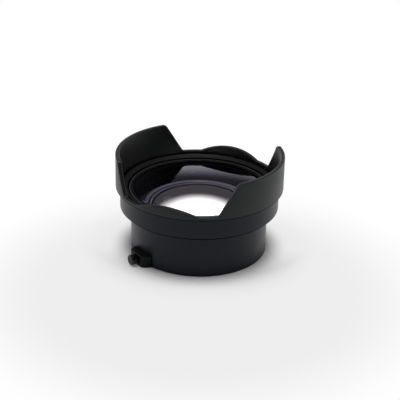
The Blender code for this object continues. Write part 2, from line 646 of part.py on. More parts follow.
def make_seals(finishes):
    make_seal("front_seal", FRONT_CELL_RADIUS + CLEARANCE, SEAT_HEIGHT + CLEARANCE,
              finishes["rubber"])
    make_seal("rear_seal", LEDGE_RADIUS + CLEARANCE, LEDGE_TOP + CLEARANCE, finishes["rubber"])


# Rear glass, its ring, the light baffle over it and the cushion ring under it
def make_rear_glass(finishes):
    radius = REAR_CELL_RADIUS - CLEARANCE
    apex = REAR_GLASS_TOP + sphere_drop(radius, REAR_GLASS_CURVE)
    low_point = REAR_GLASS_BOTTOM - sphere_drop(LEDGE_RADIUS, REAR_GLASS_REAR_CURVE)
    rear = [(reach, low_point - height) for reach, height
            in curved_surface(LEDGE_RADIUS, REAR_GLASS_RINGS, 0.0, REAR_GLASS_REAR_CURVE)]
    section = [
        *reversed(rear),
        (radius, REAR_GLASS_BOTTOM),
        *curved_surface(radius, REAR_GLASS_RINGS, apex, REAR_GLASS_CURVE),
    ]
    turned_solid("rear_element", section, finishes["glass"], GLASS_STEPS)


def make_rear_retainer(finishes):
    """A threaded ring that bears on the rear glass, with its inner top edge chamfered."""
    outer = REAR_CELL_RADIUS - CLEARANCE
    inner = outer - REAR_RETAINER_WALL
    bottom = REAR_GLASS_TOP + CLEARANCE
    top = bottom + REAR_RETAINER_HEIGHT
    inner_bottom = (bottom + sphere_drop(outer, REAR_GLASS_CURVE)
                    - sphere_drop(inner, REAR_GLASS_CURVE))
    turned("rear_retaining_ring", [
        (outer, bottom),
        (outer, top),
        (inner + REAR_RETAINER_CHAMFER, top),
        (inner, top - REAR_RETAINER_CHAMFER),
        (inner, inner_bottom),
    ], finishes["dark"], INNER_STEPS)


def make_baffle(finishes):
    """A stepped light trap between the two cells, standing on the barrel's inner shoulder."""
    bottom = REAR_CELL_TOP + CLEARANCE
    top = front_glass_levels()[2] - CLEARANCE
    outer = FRONT_CELL_RADIUS - CLEARANCE
    inner_bottom = REAR_CELL_RADIUS + CLEARANCE
    inner_top = FRONT_GLASS_REAR_OPENING + CLEARANCE
    section = [(outer, bottom), (outer, top)]
    for rib in range(BAFFLE_RIBS):
        upper = 1 - rib / BAFFLE_RIBS
        lower = 1 - (rib + 0.5) / BAFFLE_RIBS
        crest = inner_bottom + (inner_top - inner_bottom) * upper
        section.append((crest, bottom + (top - bottom) * upper))
        section.append((crest + BAFFLE_RIB_DEPTH, bottom + (top - bottom) * lower))
    section.append((inner_bottom, bottom))
    turned("light_baffle", section, finishes["dark"], INNER_STEPS)


def make_cushion(finishes):
    """The soft ring under the ledge that the camera lens's rim seats on."""
    outer = CAMERA_BORE_RADIUS - CLEARANCE
    inner = outer - CUSHION_WIDTH
    top = CAMERA_BORE_DEPTH - CLEARANCE
    turned("cushion_ring", [
        (inner, top - CUSHION_THICKNESS),
        (outer, top - CUSHION_THICKNESS),
        (outer, top),
        (inner, top),
    ], finishes["rubber"], INNER_STEPS)


# Petal hood, lofted round the axis from one section whose rim follows the petals
def rounded_path(points, radii):
    """Replace each inner corner of an open path by an arc of the given radius."""
    path = [points[0]]
    for before, corner, after, radius in zip(points, points[1:], points[2:], radii):
        to_start = (Vector(before) - Vector(corner)).normalized()
        to_end = (Vector(after) - Vector(corner)).normalized()
        opening = to_start.angle(to_end)
        setback = radius / math.tan(opening / 2)
        bisector = (to_start + to_end).normalized()
        centre = Vector(corner) + bisector * (radius / math.sin(opening / 2))
        first = Vector(corner) + to_start * setback - centre
        turn = math.atan2(to_end.x * to_start.y - to_end.y * to_start.x, to_end.dot(to_start))
        sweep = math.copysign(math.pi - opening, turn)
        steps = 4
        for i in range(steps + 1):
            rotation = Matrix.Rotation(sweep * i / steps, 2)
            path.append(tuple(centre + rotation @ first))
    path.append(points[-1])
    return path


def quarter_outline():
    """Rim height over arc length, from the middle of a tall petal to the middle of a low one."""
    tall_top = HOOD_VALLEY + HOOD_TALL_RISE
    low_foot = math.pi / 2 - LOW_HALF_ANGLE
    corners = [
        (0.0, tall_top),
        (TALL_TOP_HALF_ANGLE * HOOD_RADIUS, tall_top),
        (TALL_FOOT_HALF_ANGLE * HOOD_RADIUS, HOOD_VALLEY),
        (low_foot * HOOD_RADIUS, HOOD_VALLEY),
    ]
    path = rounded_path(corners, (PETAL_CORNER_RADIUS, PETAL_FOOT_RADIUS))
    half_width = LOW_HALF_ANGLE * HOOD_RADIUS
    arch_radius = (half_width ** 2 + HOOD_LOW_RISE ** 2) / (2 * HOOD_LOW_RISE)
    steps = 6
    for i in range(1, steps + 1):
        away = half_width * (1 - i / steps)
        lift = math.sqrt(arch_radius ** 2 - away ** 2) - (arch_radius - HOOD_LOW_RISE)
        path.append((math.pi / 2 * HOOD_RADIUS - away, HOOD_VALLEY + lift))
    return path


def hood_stations():
    """Angle, rim height and rim slope at every section of the loft."""
    quarter = quarter_outline()
    fine = [quarter[0]]
    for start, end in zip(quarter, quarter[1:]):
        pieces = max(1, math.ceil((end[0] - start[0]) / (STATION_STEP * HOOD_RADIUS) - 1e-6))
        for i in range(1, pieces + 1):
            share = i / pieces
            fine.append((start[0] + (end[0] - start[0]) * share,
                         start[1] + (end[1] - start[1]) * share))
    half = fine + [(math.pi * HOOD_RADIUS - along, rim) for along, rim in reversed(fine[:-1])]
    full = half + [(along + math.pi * HOOD_RADIUS, rim) for along, rim in half[1:-1]]
    stations = []
    for i, (along, rim) in enumerate(full):
        before = full[i - 1]
        after = full[(i + 1) % len(full)]
        run = (after[0] - before[0]) % (math.tau * HOOD_RADIUS)
        slope = (after[1] - before[1]) / run
        stations.append((HOOD_TURN + along / HOOD_RADIUS, rim, slope))
    return stations


def hood_section(rim, slope):
    """The hood's section at one angle; a sloping rim keeps its edge round by a deeper bevel."""
    drop = HOOD_RIM_BEVEL * math.sqrt(1 + slope * slope)
    return [
        (HOOD_RADIUS - HOOD_BASE_BEVEL, HOOD_BASE),
        (HOOD_RADIUS, HOOD_BASE + HOOD_BASE_BEVEL),
        (HOOD_RADIUS, rim - drop),
        (HOOD_RADIUS - HOOD_RIM_BEVEL, rim),
        (HOOD_INNER_RADIUS + HOOD_RIM_BEVEL, rim),
        (HOOD_INNER_RADIUS, rim - drop),
        (HOOD_INNER_RADIUS, SHELF_OUTER_TOP + SHELF_GROOVE),
        (SHELF_OUTER_RADIUS + SHELF_GROOVE, SHELF_OUTER_TOP + SHELF_GROOVE),
        (SHELF_OUTER_RADIUS + SHELF_GROOVE, SHELF_OUTER_TOP - SHELF_GROOVE),
        (SHELF_OUTER_RADIUS, SHELF_OUTER_TOP),
        (NOSE_RADIUS + CLEARANCE, SHELF_INNER_TOP),
        (NOSE_RADIUS + CLEARANCE, SHELF_UNDER),
        (SKIRT_INNER_RADIUS, SHELF_UNDER),
        (SKIRT_INNER_RADIUS, BAYONET_TAB_BOTTOM),
        (SKIRT_OUTER_RADIUS, BAYONET_TAB_BOTTOM),
        (SKIRT_OUTER_RADIUS, HOOD_BASE),
    ]


def make_hood(finishes):
    mesh_data = bmesh.new()
    loops = []
    for angle, rim, slope in hood_stations():
        loops.append([mesh_data.verts.new(around(angle, radius, height))
                      for radius, height in hood_section(rim, slope)])
    for this, following in zip(loops, loops[1:] + loops[:1]):
        for i in range(len(this)):
            mesh_data.faces.new((this[i - 1], this[i], following[i], following[i - 1]))
    hood = finish("petal_hood", mesh_data, finishes["hood"])
    tabs = []
    for number in range(BAYONET_COUNT):
        tabs.append(arc_block(f"hood_tab_{number}", BAYONET_WALL_RADIUS + CLEARANCE,
                              (SKIRT_INNER_RADIUS + SKIRT_OUTER_RADIUS) / 2, BAYONET_TAB_BOTTOM,
                              BAYONET_TAB_TOP, bayonet_angle(number), BAYONET_TAB_SPAN,
                              finishes["hood"]))
    combine(hood, tabs, "UNION")


# Bayonet ring in the head ring's channel
def bayonet_angle(number):
    return HOOD_TURN + math.tau * number / BAYONET_COUNT


def bayonet_screw_place(number):
    """Shoulder of each fixing screw, between the lugs, sunk into the ring's base."""
    angle = bayonet_angle(number) + math.pi / BAYONET_COUNT
    radius = (BAYONET_WALL_RADIUS + BAYONET_REACH_RADIUS) / 2
    return around(angle, radius, (BAYONET_BASE_BOTTOM + BAYONET_BASE_TOP) / 2)


def make_bayonet_ring(finishes):
    """A ring whose lugs lie over the hood's tabs, with a stop at one end of each lug."""
    ring = turned("bayonet_ring", [
        (BAYONET_INNER_RADIUS, BAYONET_BASE_BOTTOM),
        (BAYONET_REACH_RADIUS, BAYONET_BASE_BOTTOM),
        (BAYONET_REACH_RADIUS, BAYONET_BASE_TOP),
        (BAYONET_WALL_RADIUS, BAYONET_BASE_TOP),
        (BAYONET_WALL_RADIUS, BAYONET_LUG_TOP),
        (BAYONET_INNER_RADIUS, BAYONET_LUG_TOP),
    ], finishes["dark"], INNER_STEPS)
    root = (BAYONET_INNER_RADIUS + BAYONET_WALL_RADIUS) / 2
    stop_offset = (BAYONET_TAB_SPAN + BAYONET_STOP_SPAN) / 2 + CLEARANCE / BAYONET_REACH_RADIUS
    stop_top = (BAYONET_LUG_BOTTOM + BAYONET_LUG_TOP) / 2
    lugs = []
    cutters = []
    for number in range(BAYONET_COUNT):
        centre = bayonet_angle(number)
        lugs.append(arc_block(f"bayonet_lug_{number}", root, BAYONET_REACH_RADIUS,
                              BAYONET_LUG_BOTTOM, BAYONET_LUG_TOP, centre, BAYONET_LUG_SPAN,
                              finishes["dark"]))
        lugs.append(arc_block(f"bayonet_stop_{number}", root, BAYONET_REACH_RADIUS,
                              BAYONET_BASE_TOP - CLEARANCE, stop_top, centre - stop_offset,
                              BAYONET_STOP_SPAN, finishes["dark"]))
        place = bayonet_screw_place(number)
        over = Vector((0, 0, OVERSHOOT))
        cutters.append(rod_at(f"bayonet_sink_{number}", BAYONET_SCREW_HEAD_RADIUS + CLEARANCE,
                              place, place + over, finishes["dark"]))
        cutters.append(rod_at(f"bayonet_bore_{number}", BAYONET_SCREW_RADIUS + CLEARANCE,
                              place - over, place + over, finishes["dark"]))
    combine(ring, lugs, "UNION")
    combine(ring, cutters, "DIFFERENCE")


def make_bayonet_screws(finishes):
    head = (BAYONET_BASE_TOP - BAYONET_BASE_BOTTOM) / 2 - CLEARANCE
    section = [
        (0.0, head / 2),
        (BAYONET_SCREW_RADIUS, head / 2),
        (BAYONET_SCREW_RADIUS, head),
        (BAYONET_SCREW_HEAD_RADIUS, head),
        (BAYONET_SCREW_HEAD_RADIUS, 0.0),
        (BAYONET_SCREW_RADIUS, 0.0),
        (BAYONET_SCREW_RADIUS, -BAYONET_SCREW_LENGTH),
        (0.0, -BAYONET_SCREW_LENGTH),
    ]
    for number in range(BAYONET_COUNT):
        screw = turned_solid(f"bayonet_screw_{number + 1}", section, finishes["steel"], SCREW_STEPS)
        screw.location = bayonet_screw_place(number) + Vector((0, 0, CLEARANCE))


def main():
    remove_everything()
    finishes = make_finishes()
    make_barrel(finishes)
    make_lug(finishes)
    make_lug_screws(finishes)
    make_clamp(finishes)
    make_head(finishes)
    make_set_screws(finishes)
    make_front_glass(finishes)
    make_front_retainer(finishes)
    make_rear_glass(finishes)
    make_seals(finishes)
    make_rear_retainer(finishes)
    make_baffle(finishes)
    make_cushion(finishes)
    make_hood(finishes)
    make_bayonet_ring(finishes)
    make_bayonet_screws(finishes)


main()
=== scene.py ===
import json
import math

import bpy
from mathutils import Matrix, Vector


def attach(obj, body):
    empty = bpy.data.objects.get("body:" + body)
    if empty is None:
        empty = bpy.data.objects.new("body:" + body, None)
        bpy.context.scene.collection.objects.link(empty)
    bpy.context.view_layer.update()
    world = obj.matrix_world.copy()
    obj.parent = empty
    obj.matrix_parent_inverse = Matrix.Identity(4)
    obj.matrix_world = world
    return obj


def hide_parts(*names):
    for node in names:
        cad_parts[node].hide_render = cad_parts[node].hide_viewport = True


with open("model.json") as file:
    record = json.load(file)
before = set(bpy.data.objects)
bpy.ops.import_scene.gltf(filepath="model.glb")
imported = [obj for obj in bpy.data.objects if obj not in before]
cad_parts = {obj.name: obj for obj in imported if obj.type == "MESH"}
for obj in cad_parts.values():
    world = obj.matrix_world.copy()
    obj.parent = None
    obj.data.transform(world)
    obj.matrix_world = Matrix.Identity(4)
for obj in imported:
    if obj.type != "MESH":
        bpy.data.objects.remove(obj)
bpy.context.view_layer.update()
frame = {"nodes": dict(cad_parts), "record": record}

# %% [markdown]
# # A wide-angle conversion lens
# The lens is a set of turned black rings with a petal hood on top and a small clamp on its foot.
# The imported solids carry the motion. Here each visible piece is modelled again at a finer scale,
# with rounded edges, and laid over the solid it stands for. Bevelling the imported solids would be
# quicker, but their faces are too coarse for a smooth, even round.
# Everything is in metres, with the optical axis along Z and the rear rim at Z = 0.

MM = 0.001
GAP = 0.3 * MM  # what pieces that touch keep between them


def clear_selection():
    """An operator acts on all that is selected, so each piece starts from nothing selected."""
    if bpy.context.object and bpy.context.object.mode != "OBJECT":
        bpy.ops.object.mode_set(mode="OBJECT")
    bpy.ops.object.select_all(action="DESELECT")


def name_piece(name):
    """Name the object that the last operator made, and its mesh."""
    piece = bpy.context.object
    piece.name = name
    piece.data.name = name
    return piece


# %% [markdown]
# ## Drawing a section and turning it
# Nearly every part of a lens is made on a lathe. The same can be done in Blender: draw half of
# the cross-section as a chain of edges, then spin it about the axis. Cylinders added and cut
# would also do, but a section gives ledges, chamfers and curves in one go. The chain starts as a
# plane merged to one point, and each extrude adds the next corner. Spinning a closed section
# gives a ring, and spinning an open one that starts and ends on the axis gives a solid disc.

# %% Section and lathe helpers
TURN_STEPS = 256
SMOOTH_ANGLE = 30.0  # degrees; a flatter edge than this is shaded smooth
WELD = 0.002 * MM


def draw_chain(name, points):
    """Extrude one point from corner to corner, and stay in edit mode."""
    clear_selection()
    bpy.ops.mesh.primitive_plane_add(size=MM, location=(0.0, 0.0, 0.0))
    piece = name_piece(name)
    bpy.ops.object.mode_set(mode="EDIT")
    bpy.ops.mesh.select_all(action="SELECT")
    bpy.ops.mesh.merge(type="CENTER")
    bpy.ops.transform.translate(value=points[0])
    for before, after in zip(points, points[1:]):
        step = [new - old for old, new in zip(before, after)]
        bpy.ops.mesh.extrude_region_move(TRANSFORM_OT_translate={"value": step})
    bpy.ops.mesh.select_all(action="SELECT")
    return piece


def end_drawing():
    """Turn all faces outwards and leave edit mode."""
    bpy.ops.mesh.select_all(action="SELECT")
    bpy.ops.mesh.normals_make_consistent(inside=False)
    bpy.ops.object.mode_set(mode="OBJECT")


def draw_section(name, corners, closed=True):
    """Draw half of a cross-section; corners are (radius, height) pairs."""
    piece = draw_chain(name, [(radius, 0.0, height) for radius, height in corners])
    if closed:
        bpy.ops.mesh.edge_face_add()
        bpy.ops.mesh.delete(type="ONLY_FACE")
        bpy.ops.mesh.select_all(action="SELECT")
    return piece


def turned(name, corners, steps=TURN_STEPS, closed=True, smooth_angle=SMOOTH_ANGLE):
    """Spin a section once round Z, weld the seam and shade it."""
    piece = draw_section(name, corners, closed)
    bpy.ops.mesh.spin(steps=steps, angle=math.tau, center=(0, 0, 0), axis=(0, 0, 1))
    bpy.ops.mesh.select_all(action="SELECT")
    bpy.ops.mesh.remove_doubles(threshold=WELD)
    end_drawing()
    bpy.ops.object.shade_smooth_by_angle(angle=math.radians(smooth_angle))
    return piece


print("one turn takes", TURN_STEPS, "steps of", round(360 / TURN_STEPS, 2), "degrees")

# %% [markdown]
# ## Rounding and cutting
# No machined edge is quite sharp: it has a thin round, which is what catches the light. A Bevel
# modifier limited by angle finds the hard edges by itself, where picking them by hand would take
# long. Holes are cut with the Boolean modifier and a rod or block as the drill. Both are applied
# at once, so that the mesh handed over is the mesh that shows.

# %% Modifier helpers
HARD_EDGE = 28.0  # degrees; a sharper edge than this is rounded


def apply_modifier(piece, kind, **settings):
    """Add a modifier, set it and apply it, with the piece active."""
    clear_selection()
    bpy.context.view_layer.objects.active = piece
    piece.select_set(True)
    change = piece.modifiers.new(kind.lower(), kind)
    for key, value in settings.items():
        setattr(change, key, value)
    bpy.ops.object.modifier_apply(modifier=change.name)


def soften(piece, width, segments=3):
    """Round every hard edge a little."""
    apply_modifier(piece, "BEVEL", width=width, segments=segments, limit_method="ANGLE",
                   angle_limit=math.radians(HARD_EDGE))
    bpy.ops.object.shade_smooth_by_angle(angle=math.radians(SMOOTH_ANGLE))


def cut(piece, tools, operation="DIFFERENCE", smooth_angle=SMOOTH_ANGLE):
    """Apply a Boolean with each tool, then remove the tool and shade the new faces."""
    for tool in tools:
        apply_modifier(piece, "BOOLEAN", object=tool, operation=operation, solver="EXACT")
        bpy.data.objects.remove(tool, do_unlink=True)
    bpy.ops.object.shade_smooth_by_angle(angle=math.radians(smooth_angle))


print("edges sharper than", HARD_EDGE, "degrees are rounded")

# %% [markdown]
# ## Handing a piece over
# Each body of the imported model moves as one. A finished piece is told which body it rides on,
# which finish it has and which solid it stands for. Some pieces have a second finish on part of
# their faces. Splitting off those faces would open the mesh, so a test picks them instead. It
# gets the face's centre and its normal, whose z is 1 on a face that looks straight up and -1 on
# one that looks straight down.

# %% Show and paint helpers
def show(piece, body, material, node):
    """Give a finished piece its material, its body and the solid it stands for."""
    piece.data.materials.clear()
    piece.data.materials.append(material)
    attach(piece, body)
    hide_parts(node)
    piece.data.calc_loop_triangles()
    print(piece.name, "rides on", body, "with", len(piece.data.loop_triangles), "triangles")


def paint(piece, material, belongs):
    """Give a second finish to the faces that a test on centre and normal picks."""
    piece.data.materials.append(material)
    number = len(piece.data.materials) - 1
    chosen = [face for face in piece.data.polygons if belongs(face.center, face.normal)]
    for face in chosen:
        face.material_index = number
    print(material.name, "covers", len(chosen), "faces of", piece.name)


print("nodes to stand for or keep:", len(frame["nodes"]))

# %% [markdown]
# ## Fine grain
# Moulded plastic and anodised metal both have a slight grain that keeps them from looking like
# glass. A picture of grain would need unwrapped meshes, and noise in object coordinates needs
# none. One shader node group makes it from two sizes of noise, and puts out a normal for the
# relief and a mask that varies the roughness. Every finish uses the group with its own size and
# depth.

# %% Node helpers and grain group
GRAIN_RELIEF = 0.1 * MM
PATCH_SCALE = 90.0


def feed(tree, node, inputs):
    """Give each input a constant, or link it to a socket."""
    for key, value in inputs.items():
        if isinstance(value, bpy.types.NodeSocket):
            tree.links.new(value, node.inputs[key])
        else:
            node.inputs[key].default_value = value


def add_node(tree, kind, inputs, **settings):
    """Add a shader node, choose its settings, then feed its inputs."""
    node = tree.nodes.new("ShaderNode" + kind)
    for key, value in settings.items():
        setattr(node, key, value)
    feed(tree, node, inputs)
    return node


def build_grain():
    """The node group that every finish shares."""
    group = bpy.data.node_groups.new("fine_grain", "ShaderNodeTree")
    for label, side, kind in (("Size", "INPUT", "Float"), ("Depth", "INPUT", "Float"),
                              ("Normal", "OUTPUT", "Vector"), ("Mottle", "OUTPUT", "Float")):
        group.interface.new_socket(label, in_out=side, socket_type="NodeSocket" + kind)
    given = group.nodes.new("NodeGroupInput")
    result = group.nodes.new("NodeGroupOutput")
    where = add_node(group, "TexCoord", {}).outputs["Object"]
    grain = add_node(group, "TexNoise", {"Vector": where, "Scale": given.outputs["Size"],
                                         "Detail": 3.0})
    patches = add_node(group, "TexNoise", {"Vector": where, "Scale": PATCH_SCALE, "Detail": 2.0})
    relief = add_node(group, "Bump", {"Strength": given.outputs["Depth"],
                                      "Distance": GRAIN_RELIEF, "Height": grain.outputs["Fac"]})
    feed(group, result, {"Normal": relief.outputs["Normal"], "Mottle": patches.outputs["Fac"]})
    return group


grain_group = build_grain()
print("grain group sockets:", [item.name for item in grain_group.interface.items_tree])

# %% [markdown]
# ## Black finishes
# The barrel and head ring are anodised aluminium. Its oxide layer hides the metal, so a dark
# shader with a weak, satin gloss suits it better than a metallic one. The hood is moulded
# plastic, a little greyer and rougher. The inner rings are flat black, and the ground rims of the
# glasses have a dull paint with no gloss at all, to swallow stray light. Only the steel screws
# and the brass shoe are metallic.

# %% Finish helper
def new_material(name):
    """A material that uses nodes, and its tree."""
    material = bpy.data.materials.new(name)
    material.use_nodes = True
    return material, material.node_tree


def finish(name, colour, roughness, gloss, grain, spread=0.03, metallic=0.0,
           sheen=(1.0, 1.0, 1.0)):
    """A plain shader; grain is (size, depth), spread how far the roughness varies."""
    material, tree = new_material(name)
    skin = add_node(tree, "Group", {"Size": grain[0], "Depth": grain[1]}, node_tree=grain_group)
    vary = add_node(tree, "MapRange", {"Value": skin.outputs["Mottle"],
                                       "To Min": roughness - spread,
                                       "To Max": roughness + spread})
    feed(tree, tree.nodes["Principled BSDF"], {
        "Base Color": (*colour, 1.0),
        "Metallic": metallic,
        "Roughness": vary.outputs["Result"],
        "Specular IOR Level": gloss,
        "Specular Tint": (*sheen, 1.0),
        "Normal": skin.outputs["Normal"],
    })
    return material


print("each finish uses the group", grain_group.name)

# %% [markdown]
# ## The set of finishes
# Black things differ more in gloss than in colour. One black for all would merge the parts into
# one shape, so each finish gets its own gloss. The anodised parts also reflect a little blue,
# which sets them off from the neutral hood.

# %% Finishes
ANODISED = (5200.0, 0.12)  # size and depth of the grain
MOULDED = (3600.0, 0.22)
FLAT = (4200.0, 0.25)
PAINTED = (4200.0, 0.20)
OXIDE_BLACK = (0.0034, 0.0037, 0.0048)

satin = {"roughness": 0.36, "gloss": 0.245, "grain": ANODISED, "sheen": (0.80, 0.84, 1.0)}
satin_barrel = finish("satin_black_barrel", OXIDE_BLACK, **satin)
satin_head = finish("satin_black_head", OXIDE_BLACK, **satin)
satin_knob = finish("satin_black_knob", (0.0030, 0.0034, 0.0040),
                    roughness=0.34, gloss=0.26, grain=ANODISED)
satin_lug = finish("satin_black_lug", (0.0026, 0.0030, 0.0030),
                   roughness=0.36, gloss=0.145, grain=ANODISED)
matt_hood = finish("matt_black_hood", (0.0054, 0.0056, 0.0056),
                   roughness=0.42, gloss=0.288, grain=MOULDED, sheen=(0.93, 0.98, 1.0))
hood_shelf = finish("matt_black_shelf", (0.0052, 0.0054, 0.0058),
                    roughness=0.45, gloss=0.13, grain=MOULDED)
flat_black = finish("flat_black", (0.0030, 0.0030, 0.0030),
                    roughness=0.50, gloss=0.11, grain=FLAT, spread=0.05)
# near-black paint: real on the glass rims and the baffle, painted shade under the head ring and
# round the hood's groove, lip and channel
lens_paint_and_painted_shade = finish("lens_paint_and_painted_shade", (0.0015, 0.0015, 0.0015),
                    roughness=0.90, gloss=0.0, grain=PAINTED, spread=0.05)
# a lighter grey for the baffle's foot and the rear ring's chamfer: a painted highlight seen
# through the glass
painted_glint = finish("painted_glint", (0.100, 0.092, 0.110),
                     roughness=0.50, gloss=0.10, grain=PAINTED, spread=0.05)
# a lighter grey for the front ring's flat top: a painted highlight
painted_ring_highlight = finish("painted_ring_edge_highlight", (0.070, 0.071, 0.075),
                   roughness=0.35, gloss=0.10, grain=(5200.0, 0.10), spread=0.04)
rubber = finish("black_rubber", (0.012, 0.012, 0.012),
                roughness=0.80, gloss=0.20, grain=(3000.0, 0.30), spread=0.05)
steel = finish("blackened_steel", (0.12, 0.12, 0.12),
               roughness=0.38, gloss=0.50, grain=(6000.0, 0.10), spread=0.04, metallic=1.0)
brass = finish("dull_brass", (0.45, 0.33, 0.14),
               roughness=0.38, gloss=0.50, grain=(6000.0, 0.12), spread=0.05, metallic=1.0)
print("finishes:", len(bpy.data.materials))

# %% [markdown]
# ## Coated glass
# Lens glass is clear, and a thin coating tints what it still reflects. A tinted mirror could
# fake that, but the Principled shader's thin film does the same as the real coating: a layer a
# fraction of a wavelength thick turns the reflection purple. Light has to pass the glass to
# reach the inner rings, so for shadow rays the glass is simply transparent. The front surface
# and the inner ones have films of different thickness, as each surface of a real lens has.

# %% Glass
FRONT_INDEX = 1.72
INNER_INDEX = 1.50
FILM_INDEX = 1.38
FRONT_FILM = 136.0  # nanometres
INNER_FILM = 105.0
FRONT_TINT = (0.89, 0.85, 0.98)
INNER_TINT = (0.96, 0.95, 1.0)


def coated_glass(name, index, film, tint):
    """Clear glass that bends light by its index, under a film of a given thickness."""
    material, tree = new_material(name)
    shader = tree.nodes["Principled BSDF"]
    feed(tree, shader, {
        "Base Color": (*tint, 1.0),
        "Roughness": 0.0,
        "IOR": index,
        "Transmission Weight": 1.0,
        "Thin Film Thickness": film,
        "Thin Film IOR": FILM_INDEX,
    })
    clear = add_node(tree, "BsdfTransparent", {})
    rays = add_node(tree, "LightPath", {})
    blend = add_node(tree, "MixShader", {0: rays.outputs["Is Shadow Ray"],
                                         1: shader.outputs["BSDF"],
                                         2: clear.outputs["BSDF"]})
    feed(tree, tree.nodes["Material Output"], {"Surface": blend.outputs["Shader"]})
    return material


front_coating = coated_glass("coated_glass", FRONT_INDEX, FRONT_FILM, FRONT_TINT)
inner_coating = coated_glass("inner_coating", INNER_INDEX, INNER_FILM, INNER_TINT)
print("glass index, front and inner:", FRONT_INDEX, INNER_INDEX)

# %% [markdown]
# ## Rear barrel
# A plain tube with a ledge inside. The camera lens slides in from below and stops at the ledge,
# and the rear glass sits on its other side. It could be a tube with a second, shorter tube
# joined inside, but drawn as one section and spun it is one clean wall, as it is when turned
# from one bar.

# %% Rear barrel
BARREL_RADIUS = 45.8 * MM
BARREL_TOP = 34.0 * MM
BARREL_ROUND = 0.45 * MM
CAMERA_BORE_RADIUS = 42.8 * MM
LEDGE_BOTTOM = 11.0 * MM
LEDGE_TOP = 13.0 * MM
LEDGE_RADIUS = 33.0 * MM
CELL_RADIUS = 36.5 * MM
CELL_TOP = 19.4 * MM
UPPER_BORE_RADIUS = 42.3 * MM

barrel = turned("barrel_skin", [
    (CAMERA_BORE_RADIUS, 0.0),
    (BARREL_RADIUS, 0.0),
    (BARREL_RADIUS, BARREL_TOP),
    (UPPER_BORE_RADIUS, BARREL_TOP),
    (UPPER_BORE_RADIUS, CELL_TOP),
    (CELL_RADIUS, CELL_TOP),
    (CELL_RADIUS, LEDGE_TOP),
    (LEDGE_RADIUS, LEDGE_TOP),
    (LEDGE_RADIUS, LEDGE_BOTTOM),
    (CAMERA_BORE_RADIUS, LEDGE_BOTTOM),
])
soften(barrel, BARREL_ROUND, 4)
print("barrel", round(2 * BARREL_RADIUS / MM, 1), "mm across")

# %% [markdown]
# ## Drills
# Screws go through several of the rings, and each needs its hole. A rod between two points makes
# a drill for any direction. It is moved in its mesh and not as an object, like a finished piece,
# which has to keep its object at the origin.

# %% Drill helpers
ROD_STEPS = 48


def around(angle, radius, height=0.0):
    """A point at an angle round the axis."""
    return Vector((radius * math.cos(angle), radius * math.sin(angle), height))


def place_in_mesh(piece, matrix):
    """Move the mesh itself, so that the object stays at the origin."""
    piece.data.transform(matrix)
    piece.matrix_world = Matrix.Identity(4)


def rod(name, radius, start, end):
    """A cylinder between two points."""
    clear_selection()
    axis = end - start
    bpy.ops.mesh.primitive_cylinder_add(vertices=ROD_STEPS, radius=radius, depth=axis.length)
    tool = name_piece(name)
    turned_to = Vector((0, 0, 1)).rotation_difference(axis).to_matrix().to_4x4()
    place_in_mesh(tool, Matrix.Translation((start + end) / 2) @ turned_to)
    return tool


print("a drill has", ROD_STEPS, "sides")

# %% [markdown]
# ## The clamp's axis
# The clamp's screw, the lug's two small screws, the lug and the knob all lie along one line that
# points out of the barrel. Everything on it is placed by its distance from the lens's axis, so
# that it stays in line if the clamp's angle or height is changed.

# %% Clamp axis
CLAMP_ANGLE = math.radians(-143.5)
CLAMP_HEIGHT = 4.2 * MM
DRILL_START = 40.4 * MM  # inside the bore, so that a drill goes through the whole wall

outward = around(CLAMP_ANGLE, 1.0)
sideways = around(CLAMP_ANGLE + math.pi / 2, 1.0)


def clamp_point(reach, offset=0.0):
    """A point on the clamp's axis, or beside it, at a distance from the lens's axis."""
    return outward * reach + sideways * offset + Vector((0, 0, CLAMP_HEIGHT))


def clamp_drill(name, radius, end, offset=0.0):
    """A drill from the bore outwards, along the clamp's axis or beside it."""
    return rod(name, radius, clamp_point(DRILL_START, offset), clamp_point(end, offset))


print("clamp axis at", round(math.degrees(CLAMP_ANGLE), 1), "degrees")

# %% [markdown]
# ## Curved blocks
# The clamp's shoe sits in a pocket of the bore, and the hood's tabs run in a round channel. A
# plain cube would leave a wall of uneven thickness there. A filled section spun only part of
# the way round makes a block that follows the ring.

# %% Curved block helper
SECTOR_STEPS = 24


def sector(name, inner, outer, bottom, top, middle, span):
    """A block that follows the ring, over a span of angle about its middle."""
    block = draw_section(name, [(inner, bottom), (outer, bottom), (outer, top), (inner, top)])
    bpy.ops.mesh.edge_face_add()
    bpy.ops.mesh.spin(steps=SECTOR_STEPS, angle=span, center=(0, 0, 0), axis=(0, 0, 1))
    end_drawing()
    place_in_mesh(block, Matrix.Rotation(middle - span / 2, 4, "Z"))
    return block


print("a curved block has", SECTOR_STEPS, "steps")

# %% [markdown]
# ## Holes in the barrel
# The lug's screws go in from the bore, so their holes have a wide sink on that side for the
# heads. Each hole is cut by itself: joining the drills first would save time, but a Boolean with
# one simple drill seldom goes wrong.

# %% Holes in the barrel
CLAMP_HOLE = 2.3 * MM
FIXING_HOLE = 1.1 * MM
FIXING_SINK = 1.7 * MM
SCREW_OFFSET = 5.9 * MM
HEAD_SHOULDER = 43.86 * MM
POCKET_FLOOR = 44.65 * MM
POCKET_HALF_WIDTH = 3.65 * MM
POCKET_HALF_HEIGHT = 2.95 * MM
THROUGH = 2.0 * MM  # how far a drill comes out on the far side

barrel_drills = [
    clamp_drill("clamp_hole", CLAMP_HOLE, BARREL_RADIUS + THROUGH),
    sector("shoe_pocket", DRILL_START, POCKET_FLOOR, CLAMP_HEIGHT - POCKET_HALF_HEIGHT,
           CLAMP_HEIGHT + POCKET_HALF_HEIGHT, CLAMP_ANGLE,
           2 * POCKET_HALF_WIDTH / CAMERA_BORE_RADIUS),
]
for offset in (-SCREW_OFFSET, SCREW_OFFSET):
    barrel_drills += [
        clamp_drill("fixing_hole", FIXING_HOLE, BARREL_RADIUS + THROUGH, offset),
        clamp_drill("fixing_sink", FIXING_SINK, HEAD_SHOULDER + GAP, offset),
    ]
cut(barrel, barrel_drills)
show(barrel, "housing", satin_barrel, "rear_barrel")
